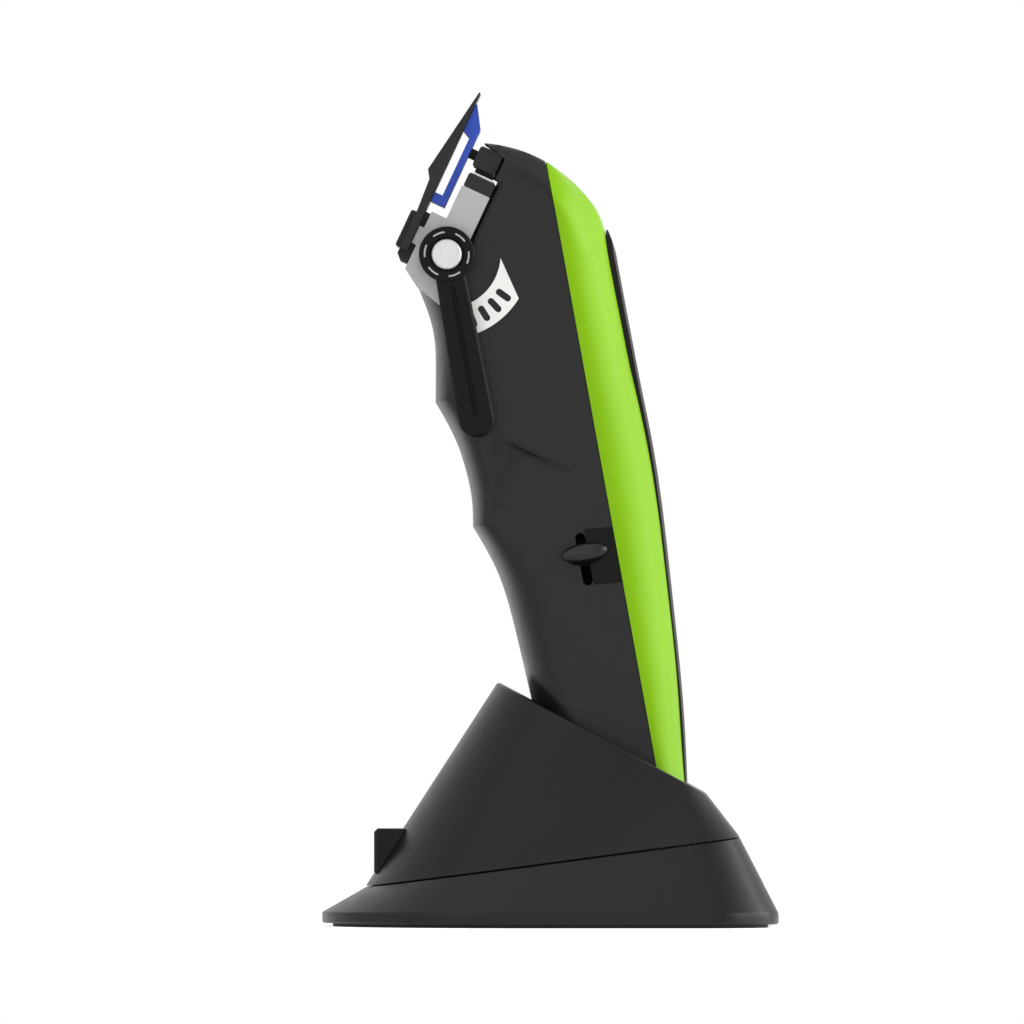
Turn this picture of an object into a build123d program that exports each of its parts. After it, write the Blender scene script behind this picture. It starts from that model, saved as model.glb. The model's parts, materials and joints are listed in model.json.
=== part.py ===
from build123d import *
import os
from collections import namedtuple
from math import cos, radians, sin, tan

# Hair clipper standing in its charging dock, in millimetres and degrees.
# +Z is up, +X points from the blade side to the back cover, the lever is on the -Y side.
# The origin is the middle of the dock's underside.

os.makedirs("parts", exist_ok=True)

# Stance of the clipper in the dock
LEAN = 10.3              # handle axis from the vertical
BLADE_TILT = 25.0        # blade plane from the vertical
TAIL_X = 29.0            # where the seam plane meets the tail end
TAIL_Z = 18.0

# Handle shell, measured up the handle from the tail end and outwards from the seam plane
WALL = 2.0
SEAM_GAP = 0.3
SEAM_PASS = 3.0          # how far each hollow is carried past the seam plane
TAIL_HALF = 18.4         # half width at the tail
HEAD_HALF = 21.6         # half width at the head
LOWER_RIDGE_S = 85.0     # ridge between the lower and middle finger grooves
UPPER_RIDGE_S = 116.0    # ridge between the middle and upper finger grooves
BROW_S = 144.0           # upper end of the upper groove
TAPER_S = 159.0          # the head narrows from here up
HEAD_TOP_S = 178.0
HEAD_TOP_HALF = 19.6
HEAD_RADIUS = 35.3       # round top of the head in side view
HEAD_CENTRE_S = 140.8
HEAD_CENTRE_FRONT = 22.5
CROWN_HALF = 15.0        # flat part of the head's top, half its width
CROWN_CHAMFER = 40.0     # slope of the facet beside it
FINGER_SQUARE = 0.71     # squareness of the finger side's rounding, 0.55 for an ellipse
COVER_SQUARE = 0.61

# Height s, depth of the finger side and depth where its rounding starts
Station = namedtuple("Station", "s front flat")
LOWER_GRIP = [
    Station(0.0, 24.6, 13.0),
    Station(22.0, 25.6, 15.0),
    Station(42.0, 26.4, 16.0),
    Station(60.0, 27.3, 17.0),
    Station(74.0, 29.1, 21.0),
    Station(LOWER_RIDGE_S, 32.8, 28.0),
]
MIDDLE_GROOVE = [
    Station(LOWER_RIDGE_S, 32.8, 28.0),
    Station(91.5, 31.9, 26.0),
    Station(98.0, 32.0, 26.0),
    Station(106.0, 33.1, 27.0),
    Station(UPPER_RIDGE_S, 36.3, 31.0),
]
UPPER_GROOVE = [
    Station(UPPER_RIDGE_S, 36.3, 31.0),
    Station(124.0, 34.8, 27.0),
    Station(132.0, 33.8, 26.0),
    Station(BROW_S, 35.5, 29.0),
]
HEAD_SPANS = [
    [Station(BROW_S, 35.5, 29.0), Station(TAPER_S, 35.5, 29.0)],
    [Station(TAPER_S, 35.5, 29.0), Station(HEAD_TOP_S, 35.5, 29.0)],
]

# Finger scoop in each flank of the middle groove: a cone that opens towards the front
SCOOP_S = 91.9           # its point
SCOOP_FRONT = 7.9
SCOOP_RISE = 8.1         # slope of its axis up the handle
SCOOP_FLARE = 31.0       # slope of its axis out of the flank
SCOOP_ANGLE = 41.3       # half its cone angle
SCOOP_LENGTH = 40.0

# Height s, depth of the back cover and how far the spine panel stands proud of it
Back = namedtuple("Back", "s back proud")
LOWER_COVER = [
    Back(0.0, 5.2, 0.5),
    Back(20.0, 7.0, 0.5),
    Back(42.0, 9.5, 0.5),
    Back(62.0, 11.0, 0.5),
    Back(82.0, 12.2, 0.6),
    Back(98.0, 12.4, 0.8),
    Back(UPPER_RIDGE_S, 11.6, 1.3),
]
UPPER_COVER = [Back(UPPER_RIDGE_S, 11.6, 1.3), Back(BROW_S, 11.2, 1.5), Back(TAPER_S, 11.2, 1.5)]
TOP_COVER = [Back(TAPER_S, 11.2, 1.5), Back(HEAD_TOP_S, 11.2, 1.5)]
SPINE_BOTTOM = 3.0
SPINE_TOP = 149.4
SPINE_WIDTH = 15.0
SPINE_CORNER = 6.0
SPINE_BED = 0.1          # share of its proud height that the panel's glue takes up

# Lever pivot, which is also the origin of the blade frame: b away from the skin, a towards the teeth
PIVOT_S = 150.3
PIVOT_FRONT = 27.3
LEVER_SWING = 44.0
BLADE_TRAVEL = 2.2

# Head chassis
NOTCH_B = 4.3            # front face of the bulkhead behind the chassis
NOTCH_SIDE = 5.1         # front edge of the housing's side walls behind the chassis
TAB_A = 21.2             # lower edge of the tab beside the drive head
TAB_B = 3.0
VISOR_A = 26.6           # underside of the housing's visor over the drive head
VISOR_END = 27.9
VISOR_B = -3.0
VISOR_POCKET = 17.1      # half width of the room under the visor for the drive head
VISOR_GAP = 0.3
CHASSIS_HALF = 20.8
CHASSIS_TOP = 16.6
CHASSIS_LEDGE = 7.8
CHASSIS_BOTTOM = -7.2
CHASSIS_FRONT = -7.6
CHASSIS_NECK = -3.7
CHASSIS_BACK = 3.6
CHASSIS_WALL = 2.4
CHEEK = 3.6
CHIN_B = -3.2            # bend in the chassis's sloping underside
CHIN_A = -10.0
CHIN_END = -11.8
CHIN_GAP = 0.15          # housing below the chassis
BULKHEAD = 1.7           # housing wall behind the chassis
BULKHEAD_HALF = 19.8
BULKHEAD_LIP = 0.6
LUG_LOW = -1.0           # lug of each chassis cheek beside the blade carriage
LUG_HIGH = 3.5
LUG_GAP = 0.2
PAD_HALF = 3.5
GUIDE_STEP = 0.3
GUIDE_EDGE = 0.4
GUIDE_TOP = 20.2
RAIL_THICK = 0.5
RAIL_INSET = 0.8
RAIL_GAP = 0.2           # drive head to its rail

# Blade set
BLADE_HALF = 23.0
BLADE_TIP = 38.4
BLADE_INNER = -9.0
BLADE_HEEL = -3.2
BLADE_THICK = 1.9
BLADE_STEP_A = 16.6
BLADE_STEP_B = -12.7
BLADE_STEP_RISE = 1.3
BLADE_STEP_RUN = 2.0
TOOTH_TIP = 0.35
TOOTH_ROOT = 29.6
TOOTH_PITCH = 1.6
TOOTH_SLOTS = 27
CUTTER_HALF = 18.5
CUTTER_TIP = 35.6
CUTTER_HEEL = 10.0
CUTTER_OUTER = -5.3
CUTTER_PLATE = 1.6
CUTTER_GAP = 0.15        # cutter to fixed blade
CUTTER_PITCH = 2.0
CUTTER_SLOTS = 17
CUTTER_TRAVEL = 1.4
ROOT_SHARE = 0.40        # gap between teeth as a share of their pitch
TIP_SHARE = 0.66
CUTTER_WEDGE = 5.1       # length of the sloping tooth face
CUTTER_LAND = 7.0        # length that lies on the fixed blade
CUTTER_FOOT = 2.4
CUTTER_RAMP = 1.0
SLOT_LEAD = 0.3          # cutter slots stop this far above the land's end
SLOT_PAST = 1.0          # slots run this far past the tips
CLAMP_TOP = 6.3
CLAMP_THICK = 1.3
CLAMP_EDGE = 0.4
CLAMP_LIP = 0.6          # blade's flat back above the clamp
CLAMP_HALF = 19.0
CLAMP_SCREW_Y = 12.0
CLAMP_SCREW_R = 1.5
CLAMP_SCREW_HEAD = 3.2
CLAMP_HEAD_SINK = 0.7

# Blade carriage and lever crank
CARRIAGE_GAP = 0.15
CARRIAGE_TOP = 7.2
CARRIAGE_FOOT = 2.8
FOOT_CORNER = 1.4
TONGUE_Y = 11.5
TONGUE_WIDTH = 4.0
TONGUE_TOP = 4.0
TONGUE_BOTTOM = -1.8
TONGUE_BACK = -0.6
SLIDE_GAP = 0.15
CRANK_PIN = 1.5
SHAFT_R = 2.5
SHAFT_END_PLAY = 0.2
CRANK_WEB = 2.4
RUNNING = 0.05

# Taper lever
SCALE_THICK = 0.8
LEVER_GAP = 0.5          # lever arm to scale plate
LEVER_THICK = 3.2
LEVER_LENGTH = 40.1
LEVER_END_R = 4.3
LEVER_BEVEL = 0.6
GROOVE_WIDTH = 1.2
GROOVE_DEPTH = 0.7
GROOVE_END = 1.0
LEVER_NECK = 7.0
HUB_R = 6.65
HUB_THICK = 3.8
HUB_RECESS_R = 4.3
HUB_RECESS = 1.3
MARK_INNER = 4.9
MARK_OUTER = 5.7
MARK_TURN = 11.0
MARKS = 6
MARK_SPAN = 34.0
MARK_DEPTH = 0.4
CAP_R = 3.6
CAP_PROUD = 0.6
DETENT_R = 16.7          # detent slots from the pivot
DETENT_PITCH = 11.0
DETENT_BALL = 1.0
DETENT_DEPTH = 2.0       # depth of the holes in the lever's inner face
DETENT_CLEAR = 0.12      # ball to scale plate
DETENT_SLOT = 4.1
DETENT_SLOT_WIDTH = 1.6
SCALE_INNER = 12.9
SCALE_OUTER = 20.2
SCALE_FIRST = -84.0      # polar angles of the scale plate's two ends
SCALE_LAST = -4.0
SCALE_HORN = -31.5       # where the outer edge turns in to the horn

# Linear motor in the head
FRAME_PLATE = 1.6
FRAME_INNER = 15.4
FRAME_CHEEK = 1.6
FRAME_DEPTH = 16.0
FRAME_BOTTOM = -11.4
FRAME_TOP = 17.2
CORE_FRONT = 11.6
CORE_STACK = 9.0
CORE_BOTTOM = -7.0
CORE_YOKE = 4.8
CORE_TOP = 9.5
CORE_LEG = 5.0
COIL_BUILD = 3.2
COIL_CORNER = 2.5
AIR_GAP = 0.6
MAGNET_THICK = 2.2
MAGNET_WIDTH = 9.2
MAGNET_SPLIT = 1.2
YOKE_HALF = 11.4
YOKE_THICK = 4.4
ROD_R = 1.2
ROD_SPREAD = 5.0
BUFFER_R = 2.2
BUFFER_GAP = 0.2
ARM_WIDTH = 10.0
ARM_TOP = 27.2
ARM_BOTTOM = 21.1
ARM_REACH = 15.2
DRIVE_BOTTOM = 21.9
DRIVE_TOP = 27.2
DRIVE_FRONT = -3.6
DRIVE_BACK = 2.3
DRIVE_HALF = 15.4
DRIVE_NOSE = 5.0
DRIVE_EDGE = 0.5
SHOE_INSET = 1.3         # shoe under the drive head, inside the rail's edges
HEAD_SCREW_R = 1.0
HEAD_SCREW_HEAD = 1.9
HEAD_SCREW_THICK = 1.4
HEAD_SCREW_Y = 12.0
HEAD_SCREW_GRIP = 5.0
HEAD_BAR_A = 15.0        # upper pair of screws

# Battery, board and switch in the handle
BATTERY_R = 9.2
BATTERY_LENGTH = 65.0
BATTERY_S = 12.8
BATTERY_FRONT = 9.4      # battery axis in front of the seam plane
CRADLE_WALL = 1.6
CRADLE_GAP = 0.2
BATTERY_EDGE = 0.8
CHIP_SIDE = 7.0
CHIP_THICK = 1.0
RIB_THICK = 1.8
RIB_INSET = 6.0          # end ribs from the battery's ends
BOARD_THICK = 1.6
BOARD_HALF = 12.0
BOARD_T = 1.0
SWITCH_S = 74.1
SWITCH_FRONT = 8.0
SLOT_LOW = 66.3
SLOT_HIGH = 79.0
SLOT_WIDTH = 2.4
SWITCH_CAP_LONG = 11.0
SWITCH_CAP_SHORT = 4.4
SWITCH_CAP_THICK = 1.6
SWITCH_STEM = 4.5
SWITCH_BODY = 6.0
SWITCH_FLANGE = 0.9
SWITCH_LIP = 1.0         # flange past each end of the stem
SWITCH_PLAY = 0.2
CAP_SHIFT = 0.5          # cap centre behind the slot
PANEL_DEPTH = 0.6        # recess beside the switch slot
PANEL_EDGE = 0.4
PANEL_CLEAR = 0.1
PANEL_THICK = 0.35
COVER_SCREW_S = (6.5, 103.0)
COVER_SCREW_R = 1.2
COVER_SCREW_HEAD = 2.2
COVER_BOSS_R = 3.4
COVER_HEAD_SINK = 0.8    # screw heads below the cover's face
COVER_HEAD_THICK = 1.5
COVER_SCREW_GRIP = 6.0
CONTACT_R = 2.4
CONTACT_FRONT = 11.0
CONTACT_Y = 6.0

# Charging dock
FOOT = 0.8
DOCK_WALL = 2.2
BAND_TOP = 3.4           # top of the base's upright edge
DOCK_LEFT = -54.7
DOCK_RIGHT = 54.7
DOCK_HALF = 43.0
SEAM_LEFT = -44.2
SEAM_LEFT_Z = 9.4
SEAM_RIGHT = 45.4
SEAM_RIGHT_Z = 21.4
SEAM_HALF = 35.0
RIM_LEFT = -12.5
RIM_LEFT_Z = 58.6
RIM_RIGHT = 37.4
RIM_RIGHT_Z = 31.9
RIM_HALF = 27.0
DOCK_SEAM = 0.35         # shadow gap between the two shells
BAND_NOSE = 52.0         # length of the rounded nose of each outline
SEAM_NOSE = 42.0
RIM_NOSE = 24.0
BAND_CORNER = 18.0       # corner radius at the back of each outline
SEAM_CORNER = 13.0
RIM_CORNER = 7.0
TAIL_STATIONS = 4        # handle stations that the cup follows
POCKET_GAP = 0.4         # clipper to cradle cup
FLOOR_GAP = 0.3
CUP_WALL = 1.6
CUP_FLOOR = 1.8
CUP_SEAT = 0.1           # glue gap between the cup and the upper shell
PLATE_THICK = 2.0
BALLAST_THICK = 3.6
BALLAST_LEFT = -42.0
BALLAST_RIGHT = 0.0
BALLAST_WIDTH = 46.0
BALLAST_CORNER = 8.0
PLATE_GAP = 0.15
FOOT_INSET = 2.6
DOCK_SCREW_X = (-18.0, 30.0)
DOCK_SCREW_Y = 31.0
DOCK_SCREW_R = 1.2
DOCK_SCREW_HEAD = 2.4
DOCK_HEAD_THICK = 1.2
DOCK_SCREW_GRIP = 5.0
POST_HALF = 3.5
POST_HEIGHT = 6.0
POST_INNER = 4.0         # post's inner face from its screw
HOLLOW_PAST = 1.0        # dock hollows run this far past the seam
INLET_FACE = -42.2
INLET_TOP = 23.4
INLET_BOTTOM = 12.3
INLET_HALF = 7.0
INLET_BEVEL = 0.8
INLET_Z = 16.6
JACK_R = 4.0
JACK_BORE = 2.8
JACK_PIN = 1.0
JACK_LENGTH = 12.0
JACK_DEPTH = 9.0
PIN_R = 0.85
PIN_FLANGE = 1.25
PIN_TOP_GAP = 0.05
BLOCK_HEIGHT = 5.6
SPRING_WIRE = 0.16
SPRING_TURNS = 4
BLOCK_ROOF = 1.6
BLOCK_DEPTH = 7.0
BOARD_MARGIN = 4.0       # contact board beyond the block
PIN_FLANGE_THICK = 0.8
REACH = 80.0             # longer than any cut needs

# Frames of the handle and of the blade
UP = Vector(-sin(radians(LEAN)), 0, cos(radians(LEAN)))
BACKWARD = Vector(cos(radians(LEAN)), 0, sin(radians(LEAN)))
TAIL = Vector(TAIL_X, 0, TAIL_Z)
PIVOT = TAIL + UP * PIVOT_S - BACKWARD * PIVOT_FRONT
BLADE_AWAY = Vector(cos(radians(BLADE_TILT)), 0, -sin(radians(BLADE_TILT)))
BLADE_UP = Vector(sin(radians(BLADE_TILT)), 0, cos(radians(BLADE_TILT)))
HANDLE = Plane(origin=TAIL, x_dir=BACKWARD, z_dir=(0, -1, 0))
BLADE = Plane(origin=PIVOT, x_dir=BLADE_AWAY, z_dir=(0, -1, 0))
BLADE_FACE = Plane(origin=PIVOT, x_dir=(0, -1, 0), z_dir=-BLADE_AWAY)


def across_handle(s):
    """Plane square to the handle, with its x axis towards the back cover."""
    return Plane(origin=TAIL + UP * s, x_dir=BACKWARD, z_dir=UP)


def facing_blade(b):
    """Plane parallel to the blade that looks towards the skin."""
    return Plane(origin=PIVOT + BLADE_AWAY * b, x_dir=(0, -1, 0), z_dir=-BLADE_AWAY)


def slab(x, y, z, mode=Mode.ADD):
    """Box between two bounds on each axis of the workplane."""
    with Locations(((x[0] + x[1]) / 2, (y[0] + y[1]) / 2, (z[0] + z[1]) / 2)):
        Box(x[1] - x[0], y[1] - y[0], z[1] - z[0], mode=mode)


def half_width(s):
    """Half width of the handle at the seam plane."""
    if s > TAPER_S:
        share = (s - TAPER_S) / (HEAD_TOP_S - TAPER_S)
        return HEAD_HALF + (HEAD_TOP_HALF - HEAD_HALF) * share
    share = min(max(s, 0.0), UPPER_RIDGE_S) / UPPER_RIDGE_S
    return TAIL_HALF + (HEAD_HALF - TAIL_HALF) * share


def rounded_end(start, crest, half, square):
    """Two curves of a rounded section end, from one flank over the crest to the other flank."""
    lean_in = start + (crest - start) * square
    Bezier((start, half), (lean_in, half), (crest, half * square), (crest, 0))
    Bezier((crest, 0), (crest, -half * square), (lean_in, -half), (start, -half))


def finger_section(station, inset, seam):
    """Section of the finger side of the handle, closed at the seam plane."""
    half = half_width(station.s) - inset
    s = max(station.s, inset)
    with BuildSketch(across_handle(s)) as section:
        with BuildLine():
            Line((seam, half), (-station.flat, half))
            rounded_end(-station.flat, inset - station.front, half, FINGER_SQUARE)
            Line((-station.flat, -half), (seam, -half))
            Line((seam, -half), (seam, half))
        make_face()
    return section.sketch


def cover_section(row, inset, seam, lift=0.0):
    """Section of the back cover, closed at the seam plane or carried past it."""
    half = half_width(row.s) - inset
    start = SEAM_GAP / 2
    crest = row.back + lift * row.proud - inset
    sides = [(seam, -half), (seam, half)] if seam < start else []
    with BuildSketch(across_handle(max(row.s, inset))) as section:
        with BuildLine():
            rounded_end(start, crest, half, COVER_SQUARE)
            Polyline((start, -half), *sides, (start, half))
        make_face()
    return section.sketch


def head_outline(radius, offset):
    """Everything under the round top of the head in side view."""
    with BuildSketch(HANDLE.offset(offset)) as outline:
        with BuildLine():
            CenterArc((-HEAD_CENTRE_FRONT, HEAD_CENTRE_S), radius, 0, 90)
            Polyline(
                (-HEAD_CENTRE_FRONT, HEAD_CENTRE_S + radius),
                (-REACH, HEAD_CENTRE_S + radius),
                (-REACH, -REACH),
                (REACH, -REACH),
                (REACH, HEAD_CENTRE_S),
                (radius - HEAD_CENTRE_FRONT, HEAD_CENTRE_S),
            )
        make_face()
    return outline.sketch


def head_envelope(radius):
    """Limit of the head, with a flat crown and a facet along each flank."""
    shoulder = radius - CROWN_HALF * tan(radians(CROWN_CHAMFER))
    with BuildPart() as envelope:
        loft([head_outline(radius, -CROWN_HALF), head_outline(radius, CROWN_HALF)], ruled=True)
        for side in (-CROWN_HALF, CROWN_HALF):
            loft([head_outline(radius, side), head_outline(shoulder, 2 * side)], ruled=True)
    return envelope.part


def finger_form(inset, seam):
    """The finger half of the handle, shrunk by an inset."""
    with BuildPart() as form:
        for span in (LOWER_GRIP, MIDDLE_GROOVE, UPPER_GROOVE):
            loft([finger_section(station, inset, seam) for station in span])
        for span in HEAD_SPANS:
            loft([finger_section(station, inset, seam) for station in span], ruled=True)
        add(head_envelope(HEAD_RADIUS - inset), mode=Mode.INTERSECT)
    return form.part


def scoop_cones(grow):
    """The two finger scoops, grown on all sides."""
    half = half_width(SCOOP_S)
    along = UP * sin(radians(SCOOP_RISE)) - BACKWARD * cos(radians(SCOOP_RISE))
    with BuildPart() as cones:
        for side in (-1, 1):
            axis = along * cos(radians(SCOOP_FLARE)) + Vector(0, side * sin(radians(SCOOP_FLARE)), 0)
            tip = TAIL + UP * SCOOP_S - BACKWARD * SCOOP_FRONT + Vector(0, side * half, 0)
            start = tip - axis * (grow / sin(radians(SCOOP_ANGLE)))
            with Locations(Plane(origin=start, z_dir=axis)):
                mouth = SCOOP_LENGTH * tan(radians(SCOOP_ANGLE))
                Cone(0, mouth, SCOOP_LENGTH, align=(Align.CENTER, Align.CENTER, Align.MIN))
    return cones.part


def cover_form(inset, seam, lift=0.0):
    """The back half of the handle, shrunk by an inset or lifted to the spine panel's face."""
    with BuildPart() as form:
        for span in (LOWER_COVER, UPPER_COVER, TOP_COVER):
            loft([cover_section(row, inset, seam, lift) for row in span], ruled=len(span) == 2)
        add(head_envelope(HEAD_RADIUS - inset), mode=Mode.INTERSECT)
    return form.part


def slanted(left, left_z, right, right_z):
    """Plane through two heights, level in Y, with its x axis to the right and origin over X = 0."""
    slope = (right_z - left_z) / (right - left)
    return Plane(origin=(0, 0, left_z - slope * left), x_dir=(1, 0, slope), z_dir=(-slope, 0, 1))


def dock_outline(plane, left, right, half, nose, corner, inset):
    """Plan of the dock on a plane: a rounded nose on the left and round corners on the right."""
    stretch = 1 / plane.x_dir.X
    x_left = (left + inset) * stretch
    x_right = (right - inset) * stretch
    x_nose = (left + nose) * stretch
    side = half - inset
    bend = corner - inset
    with BuildSketch(plane) as outline:
        with BuildLine():
            EllipticalCenterArc((x_nose, 0), x_nose - x_left, side, 90, arc_size=180)
            Line((x_nose, -side), (x_right - bend, -side))
            CenterArc((x_right - bend, bend - side), bend, 270, 90)
            Line((x_right, bend - side), (x_right, side - bend))
            CenterArc((x_right - bend, side - bend), bend, 0, 90)
            Line((x_right - bend, side), (x_nose, side))
        make_face()
    return outline.sketch


def polar(radius, angle):
    """Point at a polar angle in degrees."""
    return (radius * cos(radians(angle)), radius * sin(radians(angle)))


def tooth_slot(pitch, root, tip):
    """Outline of the gap between two teeth, wider at the tips."""
    return [
        (-ROOT_SHARE * pitch / 2, root),
        (ROOT_SHARE * pitch / 2, root),
        (TIP_SHARE * pitch / 2, tip + SLOT_PAST),
        (-TIP_SHARE * pitch / 2, tip + SLOT_PAST),
    ]


def lookup(rows, s, column):
    """Value of a column of stations at height s, straight between rows."""
    for low, high in zip(rows, rows[1:]):
        if s <= high.s:
            share = max(0.0, s - low.s) / (high.s - low.s)
            return getattr(low, column) + share * (getattr(high, column) - getattr(low, column))
    return getattr(rows[-1], column)


with BuildSketch() as ring_mark_sketch:
    with BuildLine():
        CenterArc((0, 0), MARK_OUTER, 90 - MARK_SPAN / 2, MARK_SPAN)
        CenterArc((0, 0), MARK_INNER, 90 - MARK_SPAN / 2, MARK_SPAN)
        Line(polar(MARK_INNER, 90 - MARK_SPAN / 2), polar(MARK_OUTER, 90 - MARK_SPAN / 2))
        Line(polar(MARK_INNER, 90 + MARK_SPAN / 2), polar(MARK_OUTER, 90 + MARK_SPAN / 2))
    make_face()
ring_mark = ring_mark_sketch.sketch

clamp_screw_spots = [(y, (BLADE_HEEL + CLAMP_TOP) / 2) for y in (-CLAMP_SCREW_Y, CLAMP_SCREW_Y)]
finger_outer = finger_form(0.0, -SEAM_GAP / 2)
cover_outer = cover_form(0.0, SEAM_GAP / 2)

# Ribs, bosses and the bulkhead inside the main housing
cradle_floor = -BATTERY_FRONT - BATTERY_R - CRADLE_WALL
bulkhead_back = NOTCH_B + BULKHEAD
bulkhead_bottom = FRAME_BOTTOM - BULKHEAD_LIP
battery_mid = BATTERY_S + BATTERY_LENGTH / 2
battery_top_s = BATTERY_S + BATTERY_LENGTH
with BuildPart(HANDLE) as rib_blocks:
    for rib_s in (BATTERY_S + RIB_INSET, battery_mid, battery_top_s - RIB_INSET):
        rib_span = (rib_s - RIB_THICK / 2, rib_s + RIB_THICK / 2)
        slab((-REACH, cradle_floor), rib_span, (-REACH / 2, REACH / 2))
    for boss_s in COVER_SCREW_S:
        boss_span = (boss_s - COVER_BOSS_R, boss_s + COVER_BOSS_R)
        slab((-REACH, -SEAM_GAP / 2), boss_span, (-COVER_BOSS_R, COVER_BOSS_R))
with BuildPart(BLADE) as bulkhead_block:
    slab((NOTCH_B, bulkhead_back), (bulkhead_bottom, GUIDE_TOP), (-BULKHEAD_HALF, BULKHEAD_HALF))
    for pad_y in (-HEAD_SCREW_Y, HEAD_SCREW_Y):
        slab((CHASSIS_BACK, NOTCH_B), (bulkhead_bottom, GUIDE_TOP), (pad_y - PAD_HALF, pad_y + PAD_HALF))

with BuildPart() as housing_inside:
    add(rib_blocks.part)
    add(bulkhead_block.part)
    add(finger_outer, mode=Mode.INTERSECT)

# Places of the four screws that hold the motor frame and the chassis to the bulkhead
foot_bar_a = FRAME_BOTTOM + HEAD_SCREW_HEAD
head_screw_spots = [(y, a) for a in (foot_bar_a, HEAD_BAR_A) for y in (-HEAD_SCREW_Y, HEAD_SCREW_Y)]
head_screw_tip = CHASSIS_BACK - HEAD_SCREW_GRIP
head_screw_seat = bulkhead_back + FRAME_PLATE

# Main housing
switch_half = half_width(SWITCH_S)
plate_floor = switch_half - PANEL_DEPTH
panel_low = SLOT_LOW - PANEL_EDGE
panel_high = SLOT_HIGH + PANEL_EDGE
panel_front = PANEL_EDGE + SLOT_WIDTH / 2 - SWITCH_FRONT
panel_back = -PANEL_EDGE - SEAM_GAP
with BuildPart() as housing_hollow:
    add(finger_form(WALL, SEAM_PASS))
    add(scoop_cones(WALL), mode=Mode.SUBTRACT)
chin_slope = (CHIN_END - CHIN_A) / (CHASSIS_BACK - CHIN_B)
notch_end = CHIN_END + chin_slope * (NOTCH_SIDE - CHASSIS_BACK) - CHIN_GAP
visor_ceiling = DRIVE_TOP + VISOR_GAP
with BuildPart() as main_housing:
    add(finger_outer)
    add(scoop_cones(0.0), mode=Mode.SUBTRACT)
    add(housing_hollow.part, mode=Mode.SUBTRACT)
    with BuildSketch(BLADE):
        with BuildLine():
            Polyline(
                (NOTCH_SIDE, TAB_A),
                (TAB_B, TAB_A),
                (TAB_B, VISOR_A),
                (VISOR_B, VISOR_END),
                (VISOR_B, REACH),
                (-REACH, REACH),
                (-REACH, CHASSIS_BOTTOM - CHIN_GAP),
                (CHASSIS_FRONT, CHASSIS_BOTTOM - CHIN_GAP),
                (CHIN_B, CHIN_A - CHIN_GAP),
                (NOTCH_SIDE, notch_end),
                close=True,
            )
        make_face()
    extrude(amount=REACH, both=True, mode=Mode.SUBTRACT)
    with BuildSketch(BLADE):
        with Locations(((VISOR_B + NOTCH_B) / 2, (TAB_A + visor_ceiling) / 2)):
            Rectangle(NOTCH_B - VISOR_B, visor_ceiling - TAB_A)
    extrude(amount=VISOR_POCKET, both=True, mode=Mode.SUBTRACT)
    add(housing_inside.part)
    with BuildSketch(HANDLE.offset(switch_half - 2 * WALL)):
        with Locations((-SWITCH_FRONT, (SLOT_LOW + SLOT_HIGH) / 2)):
            SlotOverall(SLOT_HIGH - SLOT_LOW, SLOT_WIDTH, rotation=90)
    extrude(amount=REACH, mode=Mode.SUBTRACT)
    with BuildSketch(HANDLE.offset(plate_floor)):
        with Locations(((panel_front + panel_back) / 2, (panel_low + panel_high) / 2)):
            Rectangle(panel_back - panel_front, panel_high - panel_low)
    extrude(amount=REACH, mode=Mode.SUBTRACT)
    with BuildSketch(across_handle(0)):
        with Locations((-CONTACT_FRONT, -CONTACT_Y), (-CONTACT_FRONT, CONTACT_Y)):
            Circle(CONTACT_R)
    extrude(amount=WALL, both=True, mode=Mode.SUBTRACT)
    for boss_s in COVER_SCREW_S:
        with BuildSketch(Plane(origin=TAIL + UP * boss_s, x_dir=(0, 1, 0), z_dir=BACKWARD)):
            Circle(COVER_SCREW_R)
        extrude(amount=-COVER_SCREW_GRIP - SEAM_GAP, mode=Mode.SUBTRACT)
    with BuildSketch(facing_blade(0)):
        with Locations(*head_screw_spots):
            Circle(HEAD_SCREW_R)
    extrude(amount=-REACH, mode=Mode.SUBTRACT)
main_housing.part.label = "main_housing"
export_step(main_housing.part, "parts/main_housing.step")

# Back cover
lid_rows = LOWER_COVER + UPPER_COVER[1:]
with BuildPart(HANDLE) as cover_boss_blocks:
    for boss_s in COVER_SCREW_S:
        boss_span = (boss_s - COVER_BOSS_R, boss_s + COVER_BOSS_R)
        slab((SEAM_GAP / 2, REACH), boss_span, (-COVER_BOSS_R, COVER_BOSS_R))
with BuildPart() as cover_inside:
    add(cover_boss_blocks.part)
    add(cover_outer, mode=Mode.INTERSECT)
with BuildPart() as back_cover:
    add(cover_outer)
    add(cover_form(WALL, -SEAM_PASS), mode=Mode.SUBTRACT)
    add(cover_inside.part)
    for boss_s in COVER_SCREW_S:
        seat = lookup(lid_rows, boss_s, "back") - COVER_HEAD_SINK - COVER_HEAD_THICK
        axis_plane = Plane(origin=TAIL + UP * boss_s + BACKWARD * seat, x_dir=(0, 1, 0), z_dir=BACKWARD)
        with BuildSketch(axis_plane):
            Circle(COVER_SCREW_HEAD)
        extrude(amount=REACH, mode=Mode.SUBTRACT)
        with BuildSketch(axis_plane):
            Circle(COVER_SCREW_R)
        extrude(amount=-REACH, mode=Mode.SUBTRACT)
back_cover.part.label = "back_cover"
export_step(back_cover.part, "parts/back_cover.step")

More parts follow.
